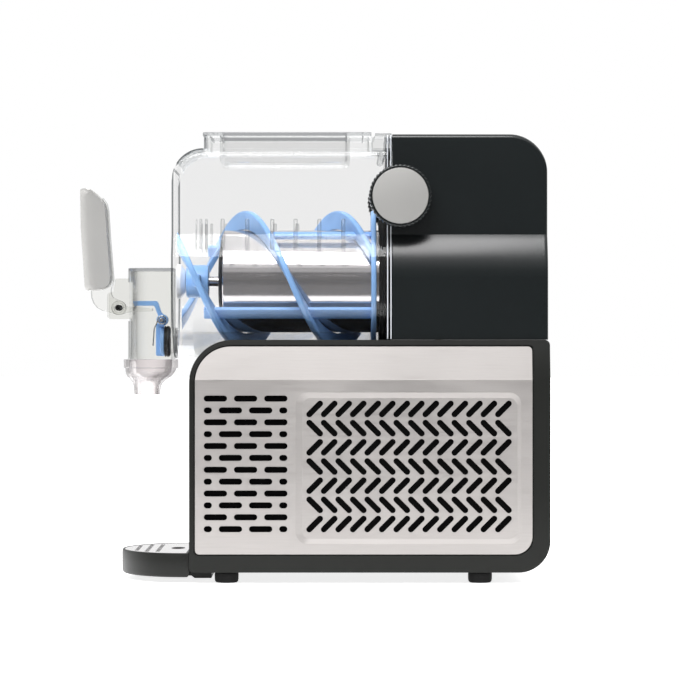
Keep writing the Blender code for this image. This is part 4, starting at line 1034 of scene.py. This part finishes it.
def buildTray():
    # rings as (inset, height): up the outside, over the rim, down past the grille's ledge to the well's floor
    levels = ((4, 5.4), (1.8, 5.6), (0.6, 6.6), (0, 8.6), (0, 27), (0.3, 28), (1, 28.6), (1.9, 28.6),
              (2.4, 28.1), (2.5, 25.7), (5, 25.6), (5.2, 13), (6, 10.8), (8, 10))
    form = skinned([[(a, b, z) for a, b in trayOutline(inset)] for inset, z in levels])
    tongue = roundedPoints([(-96, 3.2, 1), (-96, 10.1, 1), (-121, 10.1, 0.3), (-121, 5.6, 0.3),
                            (-115.5, 5.6, 0.5), (-112.5, 3.2, 1)], 4)
    merged(form, prism(tongue, "X", -60, 60))
    addPiece("dripTray", form, casingGrey, "tray", ["drip_tray"], 28)
    slots = []
    for row, count in enumerate((2, 3, 3)):
        for column in range(-count, count + 1):
            slots.append(slotPoints(column * tray["pitch"], -169.5 + tray["rowPitch"] * row, tray["slot"],
                                    tray["slotWide"]))
    turns = [math.radians(a) for a in range(0, 360, 8)]
    # an oval hole to lift the grille by
    finger = [(15 * math.cos(a), -131 + 6.75 * math.sin(a)) for a in turns]
    form = sheetWithHoles([trayOutline(2.8)] + slots + [finger], "Z", 27.4, 1.8)
    addPiece("trayGrille", form, polishedSteel, "grille", ["tray_grille"], 30, 0.3)


buildTray()
print("tray built")


# camera, floor and light

def buildCamera():
    lens = bpy.data.cameras.new("sideCamera")
    lens.sensor_width = 36.0
    lens.lens = 173.6
    lens.clip_end = 20
    camera = bpy.data.objects.new("sideCamera", lens)
    bpy.context.scene.collection.objects.link(camera)
    camera.location = (3.2, 0.0265, 0.232)
    camera.rotation_euler = (math.radians(90), 0, math.radians(90))
    bpy.context.scene.camera = camera


def softbox(name, place, aim, wide, high, power):
    light = bpy.data.lights.new(name, "AREA")
    light.shape = "RECTANGLE"
    light.size = wide
    light.size_y = high
    light.energy = power
    lamp = bpy.data.objects.new(name, light)
    bpy.context.scene.collection.objects.link(lamp)
    lamp.location = place
    lamp.rotation_euler = (Vector(place) - Vector(aim)).to_track_quat("Z", "Y").to_euler()
    lamp.visible_camera = False


# white to the camera; in reflections it turns dark from 0.45 m out on the right
def buildFloor():
    form = bmesh.new()
    bmesh.ops.create_grid(form, x_segments=2, y_segments=2, size=30)
    floor = bareObject(form, "studioFloor")
    made, tree = emptyMaterial("whiteStudioFloor")
    coords = addNode(tree, "TexCoord").outputs["Object"]
    speck = addNode(tree, "TexNoise", {"Vector": coords, "Scale": 3.0, "Detail": 2.0}).outputs[0]
    tone = addNode(tree, "MapRange", {0: speck, 1: 0.3, 2: 0.7, 3: 0.86, 4: 0.88}).outputs[0]
    out = addNode(tree, "SeparateXYZ", {0: coords}).outputs[0]
    seen = addNode(tree, "LightPath").outputs["Is Camera Ray"]
    near = addNode(tree, "MapRange", {0: out, 1: 0.42, 2: 0.48, 3: 1.0, 4: 0.1}).outputs[0]
    lit = addNode(tree, "Math", {0: seen, 1: near}, operation="MAXIMUM").outputs[0]
    level = addNode(tree, "Math", {0: tone, 1: lit}, operation="MULTIPLY").outputs[0]
    grey = addNode(tree, "CombineColor", {0: level, 1: level, 2: level}).outputs[0]
    glow = addNode(tree, "Math", {0: lit, 1: 0.8}, operation="MULTIPLY").outputs[0]
    shader = addNode(tree, "BsdfPrincipled", {
        "Base Color": grey, "Roughness": 0.9, "Emission Color": (1, 1, 1, 1), "Emission Strength": glow})
    addNode(tree, "OutputMaterial", {"Surface": shader.outputs[0]})
    floor.data.materials.append(made)


# white to the camera; reflections see a room, dim low down, with a bright band, and bright above
roomStops = ((0.0, 0.18), (0.25, 0.24), (0.29, 0.16), (0.32, 0.16), (0.34, 0.6), (0.45, 0.7),
             (0.475, 0.3), (0.5, 1.0), (1.0, 1.0))


def buildWorld():
    world = bpy.data.worlds.new("studio")
    bpy.context.scene.world = world
    world.use_nodes = True
    tree = world.node_tree
    tree.nodes.clear()
    ray = addNode(tree, "LightPath").outputs["Is Camera Ray"]
    up = addNode(tree, "SeparateXYZ", {0: addNode(tree, "TexCoord").outputs["Generated"]})
    ramp = addNode(tree, "ValToRGB", {0: up.outputs[2]})
    ramp.color_ramp.elements.remove(ramp.color_ramp.elements[1])
    ramp.color_ramp.elements[0].color = (roomStops[0][1],) * 3 + (1,)
    for place, value in roomStops[1:]:
        ramp.color_ramp.elements.new(place).color = (value, value, value, 1)
    room = addNode(tree, "Math", {0: ramp.outputs[0], 1: 1.1}, operation="MULTIPLY").outputs[0]
    backdrop = addNode(tree, "MapRange", {0: up.outputs[0], 1: -0.2, 2: 0.0, 3: 1.0, 4: 0.0}).outputs[0]
    rise = addNode(tree, "Math", {0: room, 1: backdrop}, operation="MAXIMUM").outputs[0]
    level = addNode(tree, "Mix", {0: ray, 2: rise, 3: 1.0}, data_type="FLOAT").outputs[0]
    shade = addNode(tree, "Background", {"Color": (1, 1, 1, 1), "Strength": level})
    addNode(tree, "OutputWorld", {"Surface": shade.outputs[0]})


buildCamera()
buildFloor()
buildWorld()
softbox("keySoftbox", (1.06, -0.5, 1.84), (0.0, -0.1, 0.3), 1.8, 0.95, 58)
softbox("backSoftbox", (-1.4, 1.2, 1.4), (0.0, 0.0, 0.2), 1.0, 1.0, 10)
bpy.context.scene.view_settings.view_transform = "Standard"
bpy.context.scene.cycles.transparent_max_bounces = 32

print("scene ready")
